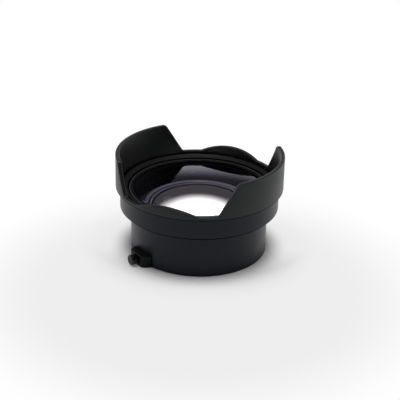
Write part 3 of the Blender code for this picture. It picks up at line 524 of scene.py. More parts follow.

# %% [markdown]
# ## Head ring
# The wide band that carries the glass and the hood. Its lower edge has a broad chamfer and its
# upper edge a narrow one, which shows as a thin light line under the hood. A bevel could make
# both, but drawn in the section each gets its own width. The broad chamfer and the underside
# are painted near-black as painted shade, for the shadow under the ring.

# %% Head ring
HEAD_RADIUS = 53.1 * MM
HEAD_BOTTOM = 29.9 * MM
HEAD_TOP = 44.6 * MM
LOW_CHAMFER = 1.3 * MM
TOP_CHAMFER = 0.6 * MM
CHANNEL_RADIUS = HEAD_RADIUS - 1.1 * MM
CHANNEL_FLOOR = 37.0 * MM
NOSE_RADIUS = 47.1 * MM
NOSE_TOP = 41.7 * MM
THREAD_RADIUS = 46.2 * MM
THREAD_FOOT = 39.9 * MM
GLASS_ROOM = 45.3 * MM
SEAT = 36.3 * MM
HEAD_ROUND = 0.12 * MM

head = turned("head_skin", [
    (BARREL_RADIUS + GAP, HEAD_BOTTOM),
    (HEAD_RADIUS - LOW_CHAMFER, HEAD_BOTTOM),
    (HEAD_RADIUS, HEAD_BOTTOM + LOW_CHAMFER),
    (HEAD_RADIUS, HEAD_TOP - TOP_CHAMFER),
    (HEAD_RADIUS - TOP_CHAMFER, HEAD_TOP),
    (CHANNEL_RADIUS, HEAD_TOP),
    (CHANNEL_RADIUS, CHANNEL_FLOOR),
    (NOSE_RADIUS, CHANNEL_FLOOR),
    (NOSE_RADIUS, NOSE_TOP),
    (THREAD_RADIUS, NOSE_TOP),
    (THREAD_RADIUS, THREAD_FOOT),
    (GLASS_ROOM, THREAD_FOOT),
    (GLASS_ROOM, SEAT),
    (UPPER_BORE_RADIUS, SEAT),
    (UPPER_BORE_RADIUS, BARREL_TOP + GAP),
    (BARREL_RADIUS + GAP, BARREL_TOP + GAP),
])
soften(head, HEAD_ROUND)
print("head ring", round(2 * HEAD_RADIUS / MM, 1), "mm across")

# %% [markdown]
# ## Holes in the head ring
# Two set screws at the back lock the ring on the barrel, and three small screws hold the bayonet
# ring in the channel. They are drilled like the barrel's holes.

# %% Holes in the head ring
HOOD_TURN = math.radians(-23.4)
SET_SCREW_ANGLES = (62, 118)
SET_SCREW_HOLE = 1.3 * MM
SET_SCREW_HEIGHT = 32.6 * MM
BAYONET_HOLE = 0.8 * MM
BAYONET_HOLE_CIRCLE = 49.2 * MM
BAYONET_HOLE_LOW = 34.3 * MM
BAYONET_HOLE_HIGH = 39.8 * MM

head_drills = []
for degrees in SET_SCREW_ANGLES:
    angle = math.radians(degrees)
    head_drills.append(rod("set_screw_hole", SET_SCREW_HOLE,
                           around(angle, BARREL_RADIUS - THROUGH, SET_SCREW_HEIGHT),
                           around(angle, HEAD_RADIUS + THROUGH, SET_SCREW_HEIGHT)))
for number in range(3):
    angle = HOOD_TURN + math.radians(60 + 120 * number)
    head_drills.append(rod("bayonet_screw_hole", BAYONET_HOLE,
                           around(angle, BAYONET_HOLE_CIRCLE, BAYONET_HOLE_LOW),
                           around(angle, BAYONET_HOLE_CIRCLE, BAYONET_HOLE_HIGH)))
cut(head, head_drills)
show(head, "housing", satin_head, "head_ring")
# painted shade: the broad chamfer and the underside get the near-black paint
paint(head, lens_paint_and_painted_shade,
      lambda at, facing: facing.z < -0.2 and at.z < HEAD_BOTTOM + LOW_CHAMFER)

# %% [markdown]
# ## Rounded corners in an outline
# The hood's petals and the lug both have rounded corners. A bevel on the finished mesh would
# also round edges that should stay sharp, so the corner of the outline itself is replaced by
# the points of an arc that touches both of its sides.

# %% Corner helper
def fillet(before, corner, after, radius, steps=24):
    """Points of an arc that rounds one corner of an outline."""
    back = (Vector(before) - Vector(corner)).normalized()
    ahead = (Vector(after) - Vector(corner)).normalized()
    opening = back.angle(ahead)
    centre = Vector(corner) + (back + ahead).normalized() * (radius / math.sin(opening / 2))
    start = Vector(corner) + back * (radius / math.tan(opening / 2)) - centre
    sign = math.copysign(1.0, ahead.x * back.y - ahead.y * back.x)
    sweep = sign * (math.pi - opening)
    return [tuple(centre + Matrix.Rotation(sweep * i / steps, 2) @ start)
            for i in range(steps + 1)]


print("a square corner becomes", len(fillet((1, 0), (0, 0), (0, 1), 0.2)), "points")

# %% [markdown]
# ## Petal outline
# The hood is one moulding: a ring whose rim rises into two tall and two low petals. Cutting the
# petals out of a tall tube would leave the rim sharp, so the ring is spun first and its rim is
# lifted afterwards. For that the outline is laid flat, as height over distance round the hood.
# It is symmetric, so one quarter is enough: half a tall petal, a valley and half a low one.

# %% Petal outline
HOOD_RADIUS = 56.0 * MM
VALLEY = 47.2 * MM
TALL_TOP = 68.0 * MM
LOW_RISE = 4.75 * MM
TALL_TOP_HALF = math.radians(39.9)
TALL_FOOT_HALF = math.radians(53.5)
LOW_HALF = math.radians(22.6)
CORNER_ROUND = 3.5 * MM
FOOT_ROUND = 2.0 * MM
ARCH_STEPS = 40


def petal_quarter():
    """Rim height over distance round the hood, from a tall petal's middle to a low one's."""
    middle = (0.0, TALL_TOP)
    tip = (TALL_TOP_HALF * HOOD_RADIUS, TALL_TOP)
    foot = (TALL_FOOT_HALF * HOOD_RADIUS, VALLEY)
    end = ((math.pi / 2 - LOW_HALF) * HOOD_RADIUS, VALLEY)
    points = [middle, *fillet(middle, tip, foot, CORNER_ROUND),
              *fillet(tip, foot, end, FOOT_ROUND), end]
    half_width = LOW_HALF * HOOD_RADIUS
    arch = (half_width ** 2 + LOW_RISE ** 2) / (2 * LOW_RISE)
    for i in range(1, ARCH_STEPS + 1):
        away = half_width * (1 - i / ARCH_STEPS)
        lift = math.sqrt(arch ** 2 - away ** 2) - (arch - LOW_RISE)
        points.append((math.pi / 2 * HOOD_RADIUS - away, VALLEY + lift))
    return points


outline = petal_quarter()
print("a quarter of the rim has", len(outline), "points")

# %% [markdown]
# ## Height of the rim at an angle
# Any angle round the hood is folded back into the quarter that is known, and the height is read
# off between two points of the outline. The slope is kept as well, for the rim's thickness.

# %% Rim height
def rim_height(angle):
    """Height and slope of the rim at an angle round the axis."""
    turned_by = (angle - HOOD_TURN) % math.pi
    sign = 1.0
    if turned_by > math.pi / 2:
        turned_by = math.pi - turned_by
        sign = -1.0
    along = turned_by * HOOD_RADIUS
    for (x0, z0), (x1, z1) in zip(outline, outline[1:]):
        if x1 >= along and x1 > x0:
            share = max(0.0, (along - x0) / (x1 - x0))
            return z0 + (z1 - z0) * share, sign * (z1 - z0) / (x1 - x0)
    return outline[-1][1], 0.0


print("petal tips at", round(rim_height(HOOD_TURN)[0] / MM, 1), "mm")

# %% [markdown]
# ## Arcs in a section
# The hood's rim and base have wide rounds. A bevel after the petals are raised would twist on
# their steep sides, so the arcs are drawn in the section and rise with the rim.

# %% Arc helper
ROUND_STEPS = 4


def quarter_round(centre, radius, start, end):
    """Corner points of an arc in the section, angles in degrees."""
    points = []
    for i in range(ROUND_STEPS + 1):
        angle = math.radians(start + (end - start) * i / ROUND_STEPS)
        points.append((centre[0] + radius * math.cos(angle),
                       centre[1] + radius * math.sin(angle)))
    return points


print("each arc has", ROUND_STEPS + 1, "points")

# %% [markdown]
# ## Hood moulding
# The section has a rounded rim, a narrow groove, a sloping shelf and a skirt that drops into the
# head ring's channel. It is spun with its rim at the height of the valleys, in fine steps,
# because the steep sides of the petals need many points to look straight.

# %% Hood moulding
HOOD_STEPS = 720
HOOD_SMOOTH = 40.0
HOOD_WALL = 2.8 * MM
HOOD_BASE = 44.9 * MM
BASE_ROUND = 0.6 * MM
RIM_ROUND = 0.55 * MM
SHELF_EDGE = 50.9 * MM
SHELF_TOP = 45.65 * MM
SHELF_LOW = 43.85 * MM
SHELF_FOOT = 48.15 * MM
SHELF_UNDER = 42.05 * MM
GROOVE_TOP = 45.95 * MM
GROOVE = 0.4 * MM
BREAK = 0.1 * MM  # a corner that is just broken
SKIRT_INNER = 50.4 * MM
SKIRT_OUTER = 51.7 * MM
SKIRT_LOW = 38.6 * MM

wall_inner = HOOD_RADIUS - HOOD_WALL
shelf_inner = NOSE_RADIUS + GAP
rim_centre = VALLEY - RIM_ROUND
hood = turned("hood_moulding", [
    *quarter_round((HOOD_RADIUS - BASE_ROUND, HOOD_BASE + BASE_ROUND), BASE_ROUND, -90, 0),
    *quarter_round((HOOD_RADIUS - RIM_ROUND, rim_centre), RIM_ROUND, 0, 90),
    *quarter_round((wall_inner + RIM_ROUND, rim_centre), RIM_ROUND, 90, 180),
    (wall_inner, GROOVE_TOP + BREAK),
    (wall_inner - 1.5 * BREAK, GROOVE_TOP),
    (SHELF_EDGE + GROOVE + BREAK, GROOVE_TOP),
    (SHELF_EDGE + GROOVE, GROOVE_TOP - BREAK),
    (SHELF_EDGE + GROOVE, SHELF_TOP - GROOVE),
    (SHELF_EDGE + 0.5 * BREAK, SHELF_TOP - 0.5 * BREAK),
    (SHELF_EDGE - BREAK, SHELF_TOP - 0.3 * BREAK),
    (SHELF_FOOT, SHELF_LOW + 3 * BREAK),
    (shelf_inner + 2.5 * BREAK, SHELF_LOW + BREAK),
    (shelf_inner, SHELF_LOW - 1.5 * BREAK),
    (shelf_inner, SHELF_UNDER),
    (SKIRT_INNER, SHELF_UNDER),
    (SKIRT_INNER, SKIRT_LOW),
    (SKIRT_OUTER, SKIRT_LOW),
    (SKIRT_OUTER, HOOD_BASE),
], steps=HOOD_STEPS, smooth_angle=HOOD_SMOOTH)
print("hood section spun in", HOOD_STEPS, "steps")

# %% [markdown]
# ## Raising the petals
# Each point of the rim is lifted to the outline's height at its angle. The rim's round would
# grow thin where the outline is steep, so there the points below the top are set lower by the
# slope. Proportional editing could raise petals too, but not to an exact outline. Three tabs
# for the bayonet are then joined to the skirt with a Boolean union.

# %% Petals and tabs
TAB_INNER = 48.6 * MM
TAB_OUTER = 51.05 * MM
TAB_TOP = 39.8 * MM
TAB_SPAN = math.radians(30)
NEAR = 0.01 * MM  # two heights or radii this close count as one

for vertex in hood.data.vertices:
    if vertex.co.z > rim_centre - NEAR and vertex.co.xy.length > wall_inner - NEAR:
        rim, slope = rim_height(math.atan2(vertex.co.y, vertex.co.x))
        depth = (VALLEY - vertex.co.z) * math.sqrt(1 + slope * slope)
        vertex.co.z = rim - depth
hood.data.update()
tabs = [sector("hood_tab", TAB_INNER, TAB_OUTER, SKIRT_LOW, TAB_TOP,
               HOOD_TURN + math.radians(120 * number), TAB_SPAN) for number in range(3)]
cut(hood, tabs, "UNION")
show(hood, "hood", matt_hood, "petal_hood")

# %% [markdown]
# ## Hood finishes
# The inner shelf is duller than the walls. The groove, the foot of the shelf, the hood's lower
# lip and all that faces into the channel lie in deep shade, and get the near-black paint with no
# gloss as painted shade. A mask in one material could tell these places apart as well, but a test
# on the faces is easier to read and to check.

# %% Hood finishes
GROOVE_BAND = 0.08 * MM


def on_shelf(at, facing):
    return facing.z > 0.5 and SHELF_FOOT < at.xy.length < SHELF_EDGE


def below_shelf(at, facing):
    return at.z < SHELF_TOP and (at.xy.length < SHELF_FOOT or facing.z < -0.1)


def beside_groove(at, facing):
    level = facing.z > 0.3 and abs(at.z - GROOVE_TOP) < GROOVE_BAND
    return level and SHELF_EDGE < at.xy.length < wall_inner


paint(hood, hood_shelf, on_shelf)
# painted shade in the groove, on the shelf's foot, on the lower lip and in the channel
paint(hood, lens_paint_and_painted_shade, below_shelf)
paint(hood, lens_paint_and_painted_shade, beside_groove)

# %% [markdown]
# ## Front retaining ring
# A thin threaded ring holds the front glass down. Its flat top is painted a lighter grey, a
# painted highlight that shows as a bright thin line, and the face that slopes from there to the
# glass is cut with a few fine steps, which stop light from glancing off it. The steps could be a
# bump in the material, but real ones catch the light each on its own edge.

# %% Front retaining ring
GLASS_RADIUS = 45.0 * MM
GLASS_EDGE_TOP = 42.4 * MM
GLASS_CURVE = 250.0 * MM
RING_TOP = 43.4 * MM
RING_CHAMFER = 0.3 * MM
RING_EDGE = 46.4 * MM
RING_LIP = 44.2 * MM
LIP_THICKNESS = 0.3 * MM
RIB_COUNT = 4
RING_SMOOTH = 20.0


def fall(radius, curve):
    """How far a ball of the given curve falls away at a radius."""
    return curve - math.sqrt(curve * curve - radius * radius)


apex = GLASS_EDGE_TOP + fall(GLASS_RADIUS, GLASS_CURVE)
lip_low = apex - fall(RING_LIP, GLASS_CURVE) + GAP
lip_high = lip_low + LIP_THICKNESS
ribs = []
for rib in range(RIB_COUNT):
    for across, down in ((0.0, 0.0), (0.75, 0.1)):
        ribs.append((RING_EDGE + (RING_LIP - RING_EDGE) * (rib + across) / RIB_COUNT,
                     RING_TOP + (lip_high - RING_TOP) * (rib + down) / RIB_COUNT))
front_ring = turned("front_ring_skin", [
    (THREAD_RADIUS - GAP, THREAD_FOOT + GAP),
    (THREAD_RADIUS - GAP, NOSE_TOP + GAP),
    (NOSE_RADIUS, NOSE_TOP + GAP),
    (NOSE_RADIUS, RING_TOP - RING_CHAMFER),
    (NOSE_RADIUS - RING_CHAMFER, RING_TOP),
    *ribs,
    (RING_LIP, lip_high),
    (RING_LIP, lip_low),
    (GLASS_ROOM, apex - fall(GLASS_ROOM, GLASS_CURVE) + GAP),
    (GLASS_ROOM, THREAD_FOOT + GAP),
], smooth_angle=RING_SMOOTH)
print("ring lip", round((lip_high - lip_low) / MM, 2), "mm thick, over", len(ribs) // 2, "steps")

# %% [markdown]
# ## Spanner slots
# The ring is screwed in with a spanner of two points, so it has two slots across its edge. A
# cube stretched to size cuts each one, and the flat edge then gets its painted highlight.

# %% Spanner slots
SLOT_SIZE = Matrix.Diagonal((2.0 * MM, 1.6 * MM, 1.0 * MM, 1.0))

slots = []
for number in range(2):
    clear_selection()
    bpy.ops.mesh.primitive_cube_add(size=1.0)
    slot = name_piece("spanner_slot")
    place_in_mesh(slot, Matrix.Rotation(HOOD_TURN + math.pi * number, 4, "Z")
                  @ Matrix.Translation((NOSE_RADIUS, 0.0, RING_TOP)) @ SLOT_SIZE)
    slots.append(slot)
cut(front_ring, slots, smooth_angle=RING_SMOOTH)
show(front_ring, "housing", flat_black, "front_retaining_ring")
# painted highlight on the ring's flat top
paint(front_ring, painted_ring_highlight,
      lambda at, facing: facing.z > 0.9 and RING_EDGE < at.xy.length < NOSE_RADIUS)

# %% [markdown]
# ## Front glass
# The front element is thick at its edge and hollow behind, as a wide-angle converter's is. A
# flattened sphere would have the wrong curve at the back, so each surface is a chain of points
# along its own arc, and the chain is spun. The ground rim is painted black, so that no light
# leaks in through the side.

# %% Front glass
SURFACE_RINGS = 40
REAR_OPENING = 40.0 * MM
REAR_CURVE = 85.0 * MM
HEEL_RADIUS = 42.0 * MM
GLASS_MIDDLE = 2.0 * MM
SEAL_ROOM = 1.1 * MM


def surface(radius, top, curve):
    """A lens surface from its rim to its middle, as (radius, height) pairs."""
    steps = [radius * (SURFACE_RINGS - i) / SURFACE_RINGS for i in range(SURFACE_RINGS + 1)]
    return [(r, top - fall(r, curve)) for r in steps]


rear_apex = apex - GLASS_MIDDLE
rim_low = rear_apex - fall(REAR_OPENING, REAR_CURVE)
shoulder = SEAT + SEAL_ROOM
front_glass = turned("front_glass", [
    *reversed(surface(REAR_OPENING, rear_apex, REAR_CURVE)),
    (HEEL_RADIUS, rim_low),
    (HEEL_RADIUS, shoulder),
    (GLASS_RADIUS, shoulder),
    *surface(GLASS_RADIUS, apex, GLASS_CURVE),
], closed=False)
show(front_glass, "housing", front_coating, "front_element")
paint(front_glass, inner_coating,
      lambda at, facing: facing.z < 0 and at.xy.length < REAR_OPENING)
paint(front_glass, lens_paint_and_painted_shade,
      lambda at, facing: at.xy.length > REAR_OPENING and at.z < GLASS_EDGE_TOP - NEAR)

# %% [markdown]
# ## Rear glass
# The rear element is a weaker lens with a bulging top and an almost flat underside. It is made
# like the front one, with the same black rim.

# %% Rear glass
REAR_EDGE = 2.2 * MM
BULGE_CURVE = 120.0 * MM
UNDER_CURVE = 400.0 * MM

edge_low = LEDGE_TOP + SEAL_ROOM
edge_high = edge_low + REAR_EDGE
rear_radius = CELL_RADIUS - GAP
rear_top = edge_high + fall(rear_radius, BULGE_CURVE)
under = [(r, edge_low + fall(r, UNDER_CURVE) - fall(LEDGE_RADIUS, UNDER_CURVE))
         for r, _ in surface(LEDGE_RADIUS, 0.0, UNDER_CURVE)]
rear_glass = turned("rear_glass", [
    *reversed(under),
    (rear_radius, edge_low),
    *surface(rear_radius, rear_top, BULGE_CURVE),
], closed=False)
show(rear_glass, "housing", inner_coating, "rear_element")
paint(rear_glass, lens_paint_and_painted_shade,
      lambda at, facing: at.xy.length > LEDGE_RADIUS and at.z < edge_high - NEAR)

# %% [markdown]
# ## Light baffle
# Between the two glasses stands a stepped black cone. Each of its three steps is cut with fine
# grooves, so that light that strays into it is caught. The grooves could be a bump, but seen at
# a slant through the glass only real grooves shade each other. The baffle's foot is painted a
# lighter grey, a painted highlight that shows through the front glass as a thin light ring.

# %% Light baffle
BAFFLE_LOW = CELL_TOP + GAP
BAFFLE_HIGH = rim_low - GAP
BAFFLE_FOOT = 1.5 * MM
STEP_COUNT = 3
STEP_TAPER = 0.5 * MM
GROOVES = 6
GROOVE_DEPTH = 0.15 * MM

narrow = CELL_RADIUS + GAP
wide = REAR_OPENING + GAP
baffle_section = [(UPPER_BORE_RADIUS - GAP, BAFFLE_LOW), (UPPER_BORE_RADIUS - GAP, BAFFLE_HIGH)]
for step in range(STEP_COUNT):
    crest = narrow + (wide - narrow) * (1 - step / STEP_COUNT)
    high = BAFFLE_LOW + (BAFFLE_HIGH - BAFFLE_LOW) * (1 - step / STEP_COUNT)
    low = BAFFLE_LOW + (BAFFLE_HIGH - BAFFLE_LOW) * (1 - (step + 0.5) / STEP_COUNT)
    for groove in range(GROOVES):
        for share, deep in ((groove / GROOVES, 0.0), ((groove + 0.5) / GROOVES, GROOVE_DEPTH)):
            baffle_section.append((crest + STEP_TAPER * share + deep,
                                   high + (low - high) * share))
    baffle_section.append((crest + STEP_TAPER, low))
baffle_section.append((narrow, BAFFLE_LOW))
baffle = turned("baffle_skin", baffle_section, smooth_angle=RING_SMOOTH)
show(baffle, "housing", lens_paint_and_painted_shade, "light_baffle")
# painted highlight on the baffle's foot
paint(baffle, painted_glint, lambda at, facing: at.z < BAFFLE_LOW + BAFFLE_FOOT)

# %% [markdown]
# ## Rear retaining ring
# A plain threaded ring holds the rear glass. Its inner edge has a chamfer, drawn in the section
# so that its underside can follow the bulge of the glass. The chamfer gets the same lighter grey
# as the baffle's foot above it, a painted highlight.

# %% Rear retaining ring
REAR_RING_HEIGHT = 2.4 * MM
REAR_RING_WALL = 1.6 * MM
REAR_RING_CHAMFER = 0.8 * MM
REAR_RING_ROUND = 0.1 * MM

ring_low = edge_high + GAP
ring_high = ring_low + REAR_RING_HEIGHT
ring_inner = rear_radius - REAR_RING_WALL
rear_ring = turned("rear_ring_skin", [
    (rear_radius, ring_low),
    (rear_radius, ring_high),
    (ring_inner + REAR_RING_CHAMFER, ring_high),
    (ring_inner, ring_high - REAR_RING_CHAMFER),
    (ring_inner, ring_low + fall(rear_radius, BULGE_CURVE) - fall(ring_inner, BULGE_CURVE)),
])
soften(rear_ring, REAR_RING_ROUND, 2)
show(rear_ring, "housing", flat_black, "rear_retaining_ring")
# painted highlight on the chamfer
paint(rear_ring, painted_glint, lambda at, facing: 0.3 < facing.z < 0.9)

# %% [markdown]
# ## Plan of the lug
# The clamp's screw runs through a small block on the barrel's foot. Seen from above, the block
# has a flat face, rounded corners and flared sides. A cube could be tapered to that, but its
# back has to follow the barrel, so its plan is worked out as an outline of points.

# %% Plan of the lug
LUG_REACH = 51.0 * MM
LUG_FACE = 7.2 * MM
LUG_BASE = 9.7 * MM
LUG_CORNER = 3.4 * MM
LUG_STEPS = 8

lug_inner = BARREL_RADIUS + GAP
base_reach = math.sqrt(lug_inner ** 2 - LUG_BASE ** 2)
corner = fillet((LUG_REACH, 0.0), (LUG_REACH, LUG_FACE), (base_reach, LUG_BASE), LUG_CORNER,
                LUG_STEPS)
spread = math.asin(LUG_BASE / lug_inner)
lug_arc = []
for i in range(2 * LUG_STEPS + 1):
    angle = spread * (1 - i / LUG_STEPS)
    lug_arc.append((lug_inner * math.cos(angle), lug_inner * math.sin(angle)))
plan = corner + lug_arc + [(reach, -offset) for reach, offset in reversed(corner)]
print("the lug's plan has", len(plan), "points")

# %% [markdown]
# ## Lug
# The outline is drawn with the same chain as a section, filled and extruded upwards. The block
# is then turned to the clamp's angle and drilled: right through for the clamp's screw, and part
# of the way for the two screws that come from the bore.

# %% Lug
LUG_LOW = 0.2 * MM
LUG_HEIGHT = 8.0 * MM
LUG_ROUND = 0.35 * MM
FIXING_END = LUG_REACH - 2.0 * MM

lug = draw_chain("lug_skin", [(reach, offset, LUG_LOW) for reach, offset in plan])
bpy.ops.mesh.edge_face_add()
bpy.ops.mesh.extrude_region_move(TRANSFORM_OT_translate={"value": (0.0, 0.0, LUG_HEIGHT)})
end_drawing()
soften(lug, LUG_ROUND, 4)
place_in_mesh(lug, Matrix.Rotation(CLAMP_ANGLE, 4, "Z"))
cut(lug, [
    clamp_drill("lug_hole", CLAMP_HOLE, LUG_REACH + THROUGH),
    clamp_drill("fixing_hole", FIXING_HOLE, FIXING_END, -SCREW_OFFSET),
    clamp_drill("fixing_hole", FIXING_HOLE, FIXING_END, SCREW_OFFSET),
])
show(lug, "housing", satin_lug, "lug_block")

# %% [markdown]
# ## Knob
# The knob is a short turned cap with a chamfered outer edge and a socket for the screw. It is
# spun upright like all the rest, since that is the easiest way to draw it, and then laid on its
# side against the lug's face.

# %% Knob
KNOB_RADIUS = 3.6 * MM
KNOB_LENGTH = 4.2 * MM
KNOB_SOCKET = 2.8 * MM
KNOB_BREAK = 0.2 * MM
KNOB_CHAMFER = 0.6 * MM
KNOB_ROUND = 0.12 * MM
KNOB_STEPS = 64

knob = turned("knob_skin", [
    (0.0, KNOB_SOCKET),
    (CLAMP_HOLE, KNOB_SOCKET),
    (CLAMP_HOLE, 0.0),
    (KNOB_RADIUS - KNOB_BREAK, 0.0),
    (KNOB_RADIUS, KNOB_BREAK),
    (KNOB_RADIUS, KNOB_LENGTH - KNOB_CHAMFER),
    (KNOB_RADIUS - KNOB_CHAMFER, KNOB_LENGTH),
    (0.0, KNOB_LENGTH),
], steps=KNOB_STEPS, closed=False)
soften(knob, KNOB_ROUND)
lay = Vector((0, 0, 1)).rotation_difference(outward).to_matrix().to_4x4()
place_in_mesh(knob, Matrix.Translation(clamp_point(LUG_REACH + GAP)) @ lay)
show(knob, "knob", satin_knob, "clamp_knob")

# %% [markdown]
# ## Finishes for the hidden pieces
# The screws, the seals, the cushion ring, the bayonet ring and the shoe are hardly seen, so they
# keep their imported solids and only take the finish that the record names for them.

# %% Hidden pieces
by_slot = {
    "flat_black": flat_black,
    "blackened_steel": steel,
    "black_rubber": rubber,
    "dull_brass": brass,
}
for entry in frame["record"]["subparts"]:
    solid = frame["nodes"][entry["node"]]
    if not solid.hide_render:
        solid.data.materials.clear()
        solid.data.materials.append(by_slot[entry["material_slot"]])
        print("solid kept:", entry["node"])

# %% [markdown]
# ## Table top
# The lens stands on a white table that fades into a white backdrop. Plain lit paper turns grey
# away from the lights, and a sheet that only glows has no shadow. So the paper is mixed: it is
# lit near the lens, where the shadow falls, and glows white from a few centimetres on. The
# masks for this are soft steps over the distance from a point on the table.

# %% Mask helpers
def soft_step(tree, source, span, low=0.0, high=1.0):
    """A mask that goes softly from low to high while the source crosses a span."""
    node = add_node(tree, "MapRange", {"Value": source, "From Min": span[0], "From Max": span[1],
                                       "To Min": low, "To Max": high},
                    interpolation_type="SMOOTHSTEP")
    return node.outputs["Result"]


def distance(tree, point, centre=(0.0, 0.0, 0.0)):
    """How far a point is from a centre."""
    node = add_node(tree, "VectorMath", {0: point, 1: centre}, operation="DISTANCE")
    return node.outputs["Value"]


def combine(tree, operation, first, second):
    """Two masks made into one, such as their product or the greater of them."""
    return add_node(tree, "Math", {0: first, 1: second}, operation=operation).outputs["Value"]


print("mask helpers ready")

# %% [markdown]
# ## Lit and glowing paper
# The glow starts where the shadow ends, and a little sooner behind the lens, since the photo's
# shadow lies in front. Further in front the glow is held back a little, which leaves a faint
# grey on the table there.

# %% Paper
SHADOW_FADE = (50 * MM, 82 * MM)
FOOT_FADE = (44 * MM, 62 * MM)
BACK_FADE = (-50 * MM, 0.0)
BACK_GLOW = 0.93
FRONT_CENTRE = (0.0, -60 * MM, 0.0)
FRONT_FADE = (90 * MM, 170 * MM)
FRONT_GLOW = 0.85
PAPER_SIZE = 6.0
PAPER_DROP = 0.05 * MM  # keeps the paper clear of the rear rim

clear_selection()
bpy.ops.mesh.primitive_plane_add(size=PAPER_SIZE, location=(0.0, 0.0, -PAPER_DROP))
floor = name_piece("floor")
paper, tree = new_material("paper")
lit = tree.nodes["Principled BSDF"]
feed(tree, lit, {"Base Color": (0.88, 0.88, 0.88, 1.0), "Roughness": 1.0,
                 "Specular IOR Level": 0.0})
spot = add_node(tree, "TexCoord", {}).outputs["Object"]
from_axis = distance(tree, spot)
front_glow = soft_step(tree, distance(tree, spot, FRONT_CENTRE), FRONT_FADE, FRONT_GLOW)
glow = add_node(tree, "Emission", {"Color": (1.0, 1.0, 1.0, 1.0), "Strength": front_glow})
depth_on_table = add_node(tree, "SeparateXYZ", {"Vector": spot}).outputs["Y"]
behind = combine(tree, "MULTIPLY", soft_step(tree, depth_on_table, BACK_FADE, high=BACK_GLOW),
                 soft_step(tree, from_axis, FOOT_FADE))
white = combine(tree, "MAXIMUM", soft_step(tree, from_axis, SHADOW_FADE), behind)
table = add_node(tree, "MixShader", {0: white, 1: lit.outputs["BSDF"],
                                     2: glow.outputs["Emission"]})
print("the paper is lit up to", round(SHADOW_FADE[1] / MM), "mm from the axis")

# %% [markdown]
# ## The table seen through the glass
# Through the lens the table looks white and falls into shade near the wall of the bore. Waiting
# for light to find its way down there would take very many samples. So rays that have passed the
# glass see a glow instead, bright in the middle and dark at the wall.

# %% Paper through the glass
BORE_CENTRE = (0.0, -8 * MM, 0.0)
BORE_FADE = (21 * MM, 36 * MM)
BORE_BRIGHT = 2.0
BORE_DARK = 0.04

bore_glow = soft_step(tree, distance(tree, spot, BORE_CENTRE), BORE_FADE, BORE_BRIGHT, BORE_DARK)
inside = add_node(tree, "Emission", {"Color": (1.0, 1.0, 0.88, 1.0), "Strength": bore_glow})
rays = add_node(tree, "LightPath", {})
through = add_node(tree, "MixShader", {0: rays.outputs["Is Transmission Ray"],
                                       1: table.outputs["Shader"],
                                       2: inside.outputs["Emission"]})
feed(tree, tree.nodes["Material Output"], {"Surface": through.outputs["Shader"]})
floor.data.materials.append(paper)
print("paper nodes:", len(tree.nodes))

# %% [markdown]
# ## World
# The world stands for the room. The camera sees it white. In reflections it is bright at the
# back and near the horizon, and dark above and in front, where the camera stands. That contrast
# draws the soft edges of light on the black parts. A room of real walls and panels would do the
# same with more noise. Diffuse surfaces get only a weak, even share of it, so that the shadow on
# the table stays.

# %% World
ROOM_FADE = (-0.35, 0.25)  # from in front of the lens to behind it
ROOM_FRONT = 0.12
HORIZON_FADE = (0.18, 0.36)  # from just above the horizon upwards
HORIZON_BRIGHT = 1.25
ROOM_ABOVE = 0.20
ROOM_DIFFUSE = 0.08

world = bpy.data.worlds.new("studio")
bpy.context.scene.world = world
world.use_nodes = True
tree = world.node_tree
look = add_node(tree, "TexCoord", {}).outputs["Generated"]
split = add_node(tree, "SeparateXYZ", {"Vector": look})
mirrored = combine(tree, "MULTIPLY", soft_step(tree, split.outputs["Y"], ROOM_FADE, ROOM_FRONT),
                   soft_step(tree, split.outputs["Z"], HORIZON_FADE, HORIZON_BRIGHT, ROOM_ABOVE))
rays = add_node(tree, "LightPath", {})
room = add_node(tree, "Mix", {"Factor": rays.outputs["Is Diffuse Ray"], "A": mirrored,
                              "B": ROOM_DIFFUSE})
seen = combine(tree, "MAXIMUM", room.outputs["Result"], rays.outputs["Is Camera Ray"])
feed(tree, tree.nodes["Background"], {"Color": seen, "Strength": 1.0})
print("world nodes:", len(tree.nodes))

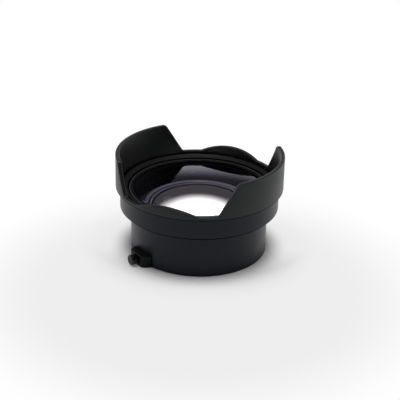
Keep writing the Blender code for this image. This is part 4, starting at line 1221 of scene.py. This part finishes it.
# %% [markdown]
# ## Lights
# A large softbox hangs above the lens and a tall one stands on each side, as in a product
# studio. The highlights of small lamps would be hard points on the black rings, and wide ones
# give the long soft gleams of the photo.

# %% Lights
def softbox(name, place, target, size, power):
    """A rectangular area light that looks at a target; power is in watts."""
    clear_selection()
    bpy.ops.object.light_add(type="AREA", location=place)
    lamp = bpy.context.object
    lamp.name = name
    lamp.data.shape = "RECTANGLE"
    lamp.data.size, lamp.data.size_y = size
    lamp.data.energy = power
    lamp.rotation_mode = "QUATERNION"
    lamp.rotation_quaternion = (Vector(target) - Vector(place)).to_track_quat("-Z", "Y")
    print(name, "of", power, "W,", round(Vector(place).length, 2), "m away")


softbox("main_light", place=(0.0, -0.12, 1.0), target=(0, 0, 0.0), size=(0.5, 0.4), power=6.7)
softbox("left_light", place=(-0.9, 0.15, 0.5), target=(0, 0, 0.03), size=(0.7, 0.9), power=2.6)
softbox("right_light", place=(0.9, 0.15, 0.5), target=(0, 0, 0.03), size=(0.7, 0.9), power=2.6)

# %% [markdown]
# ## Camera
# The photo looks down on the lens by about 25 degrees. Its place, tilt and focal length were
# fitted to the ellipses of the barrel, the head ring and the hood, whose flattening gives the
# tilt and whose sizes give the distance. Placing the camera by eye would get the size right but
# not the perspective.

# %% Camera
CAMERA_PLACE = (0.51 * MM, -711.06 * MM, 367.86 * MM)
LOOKING_DOWN = 25.18  # degrees
ROLL = 1.23
FOCAL_LENGTH = 105.12  # millimetres
SENSOR_WIDTH = 36.0
NEAREST, FARTHEST = 0.01, 20.0

clear_selection()
bpy.ops.object.camera_add()
camera = bpy.context.object
camera.name = "camera"
camera.data.sensor_width = SENSOR_WIDTH
camera.data.lens = FOCAL_LENGTH
camera.data.clip_start = NEAREST
camera.data.clip_end = FARTHEST
camera.matrix_world = (Matrix.Translation(CAMERA_PLACE)
                       @ Matrix.Rotation(math.radians(90 - LOOKING_DOWN), 4, "X")
                       @ Matrix.Rotation(math.radians(ROLL), 4, "Z"))
bpy.context.scene.camera = camera
bpy.context.scene.view_settings.view_transform = "Standard"
print("camera", round(camera.matrix_world.translation.length, 3), "m from the origin")
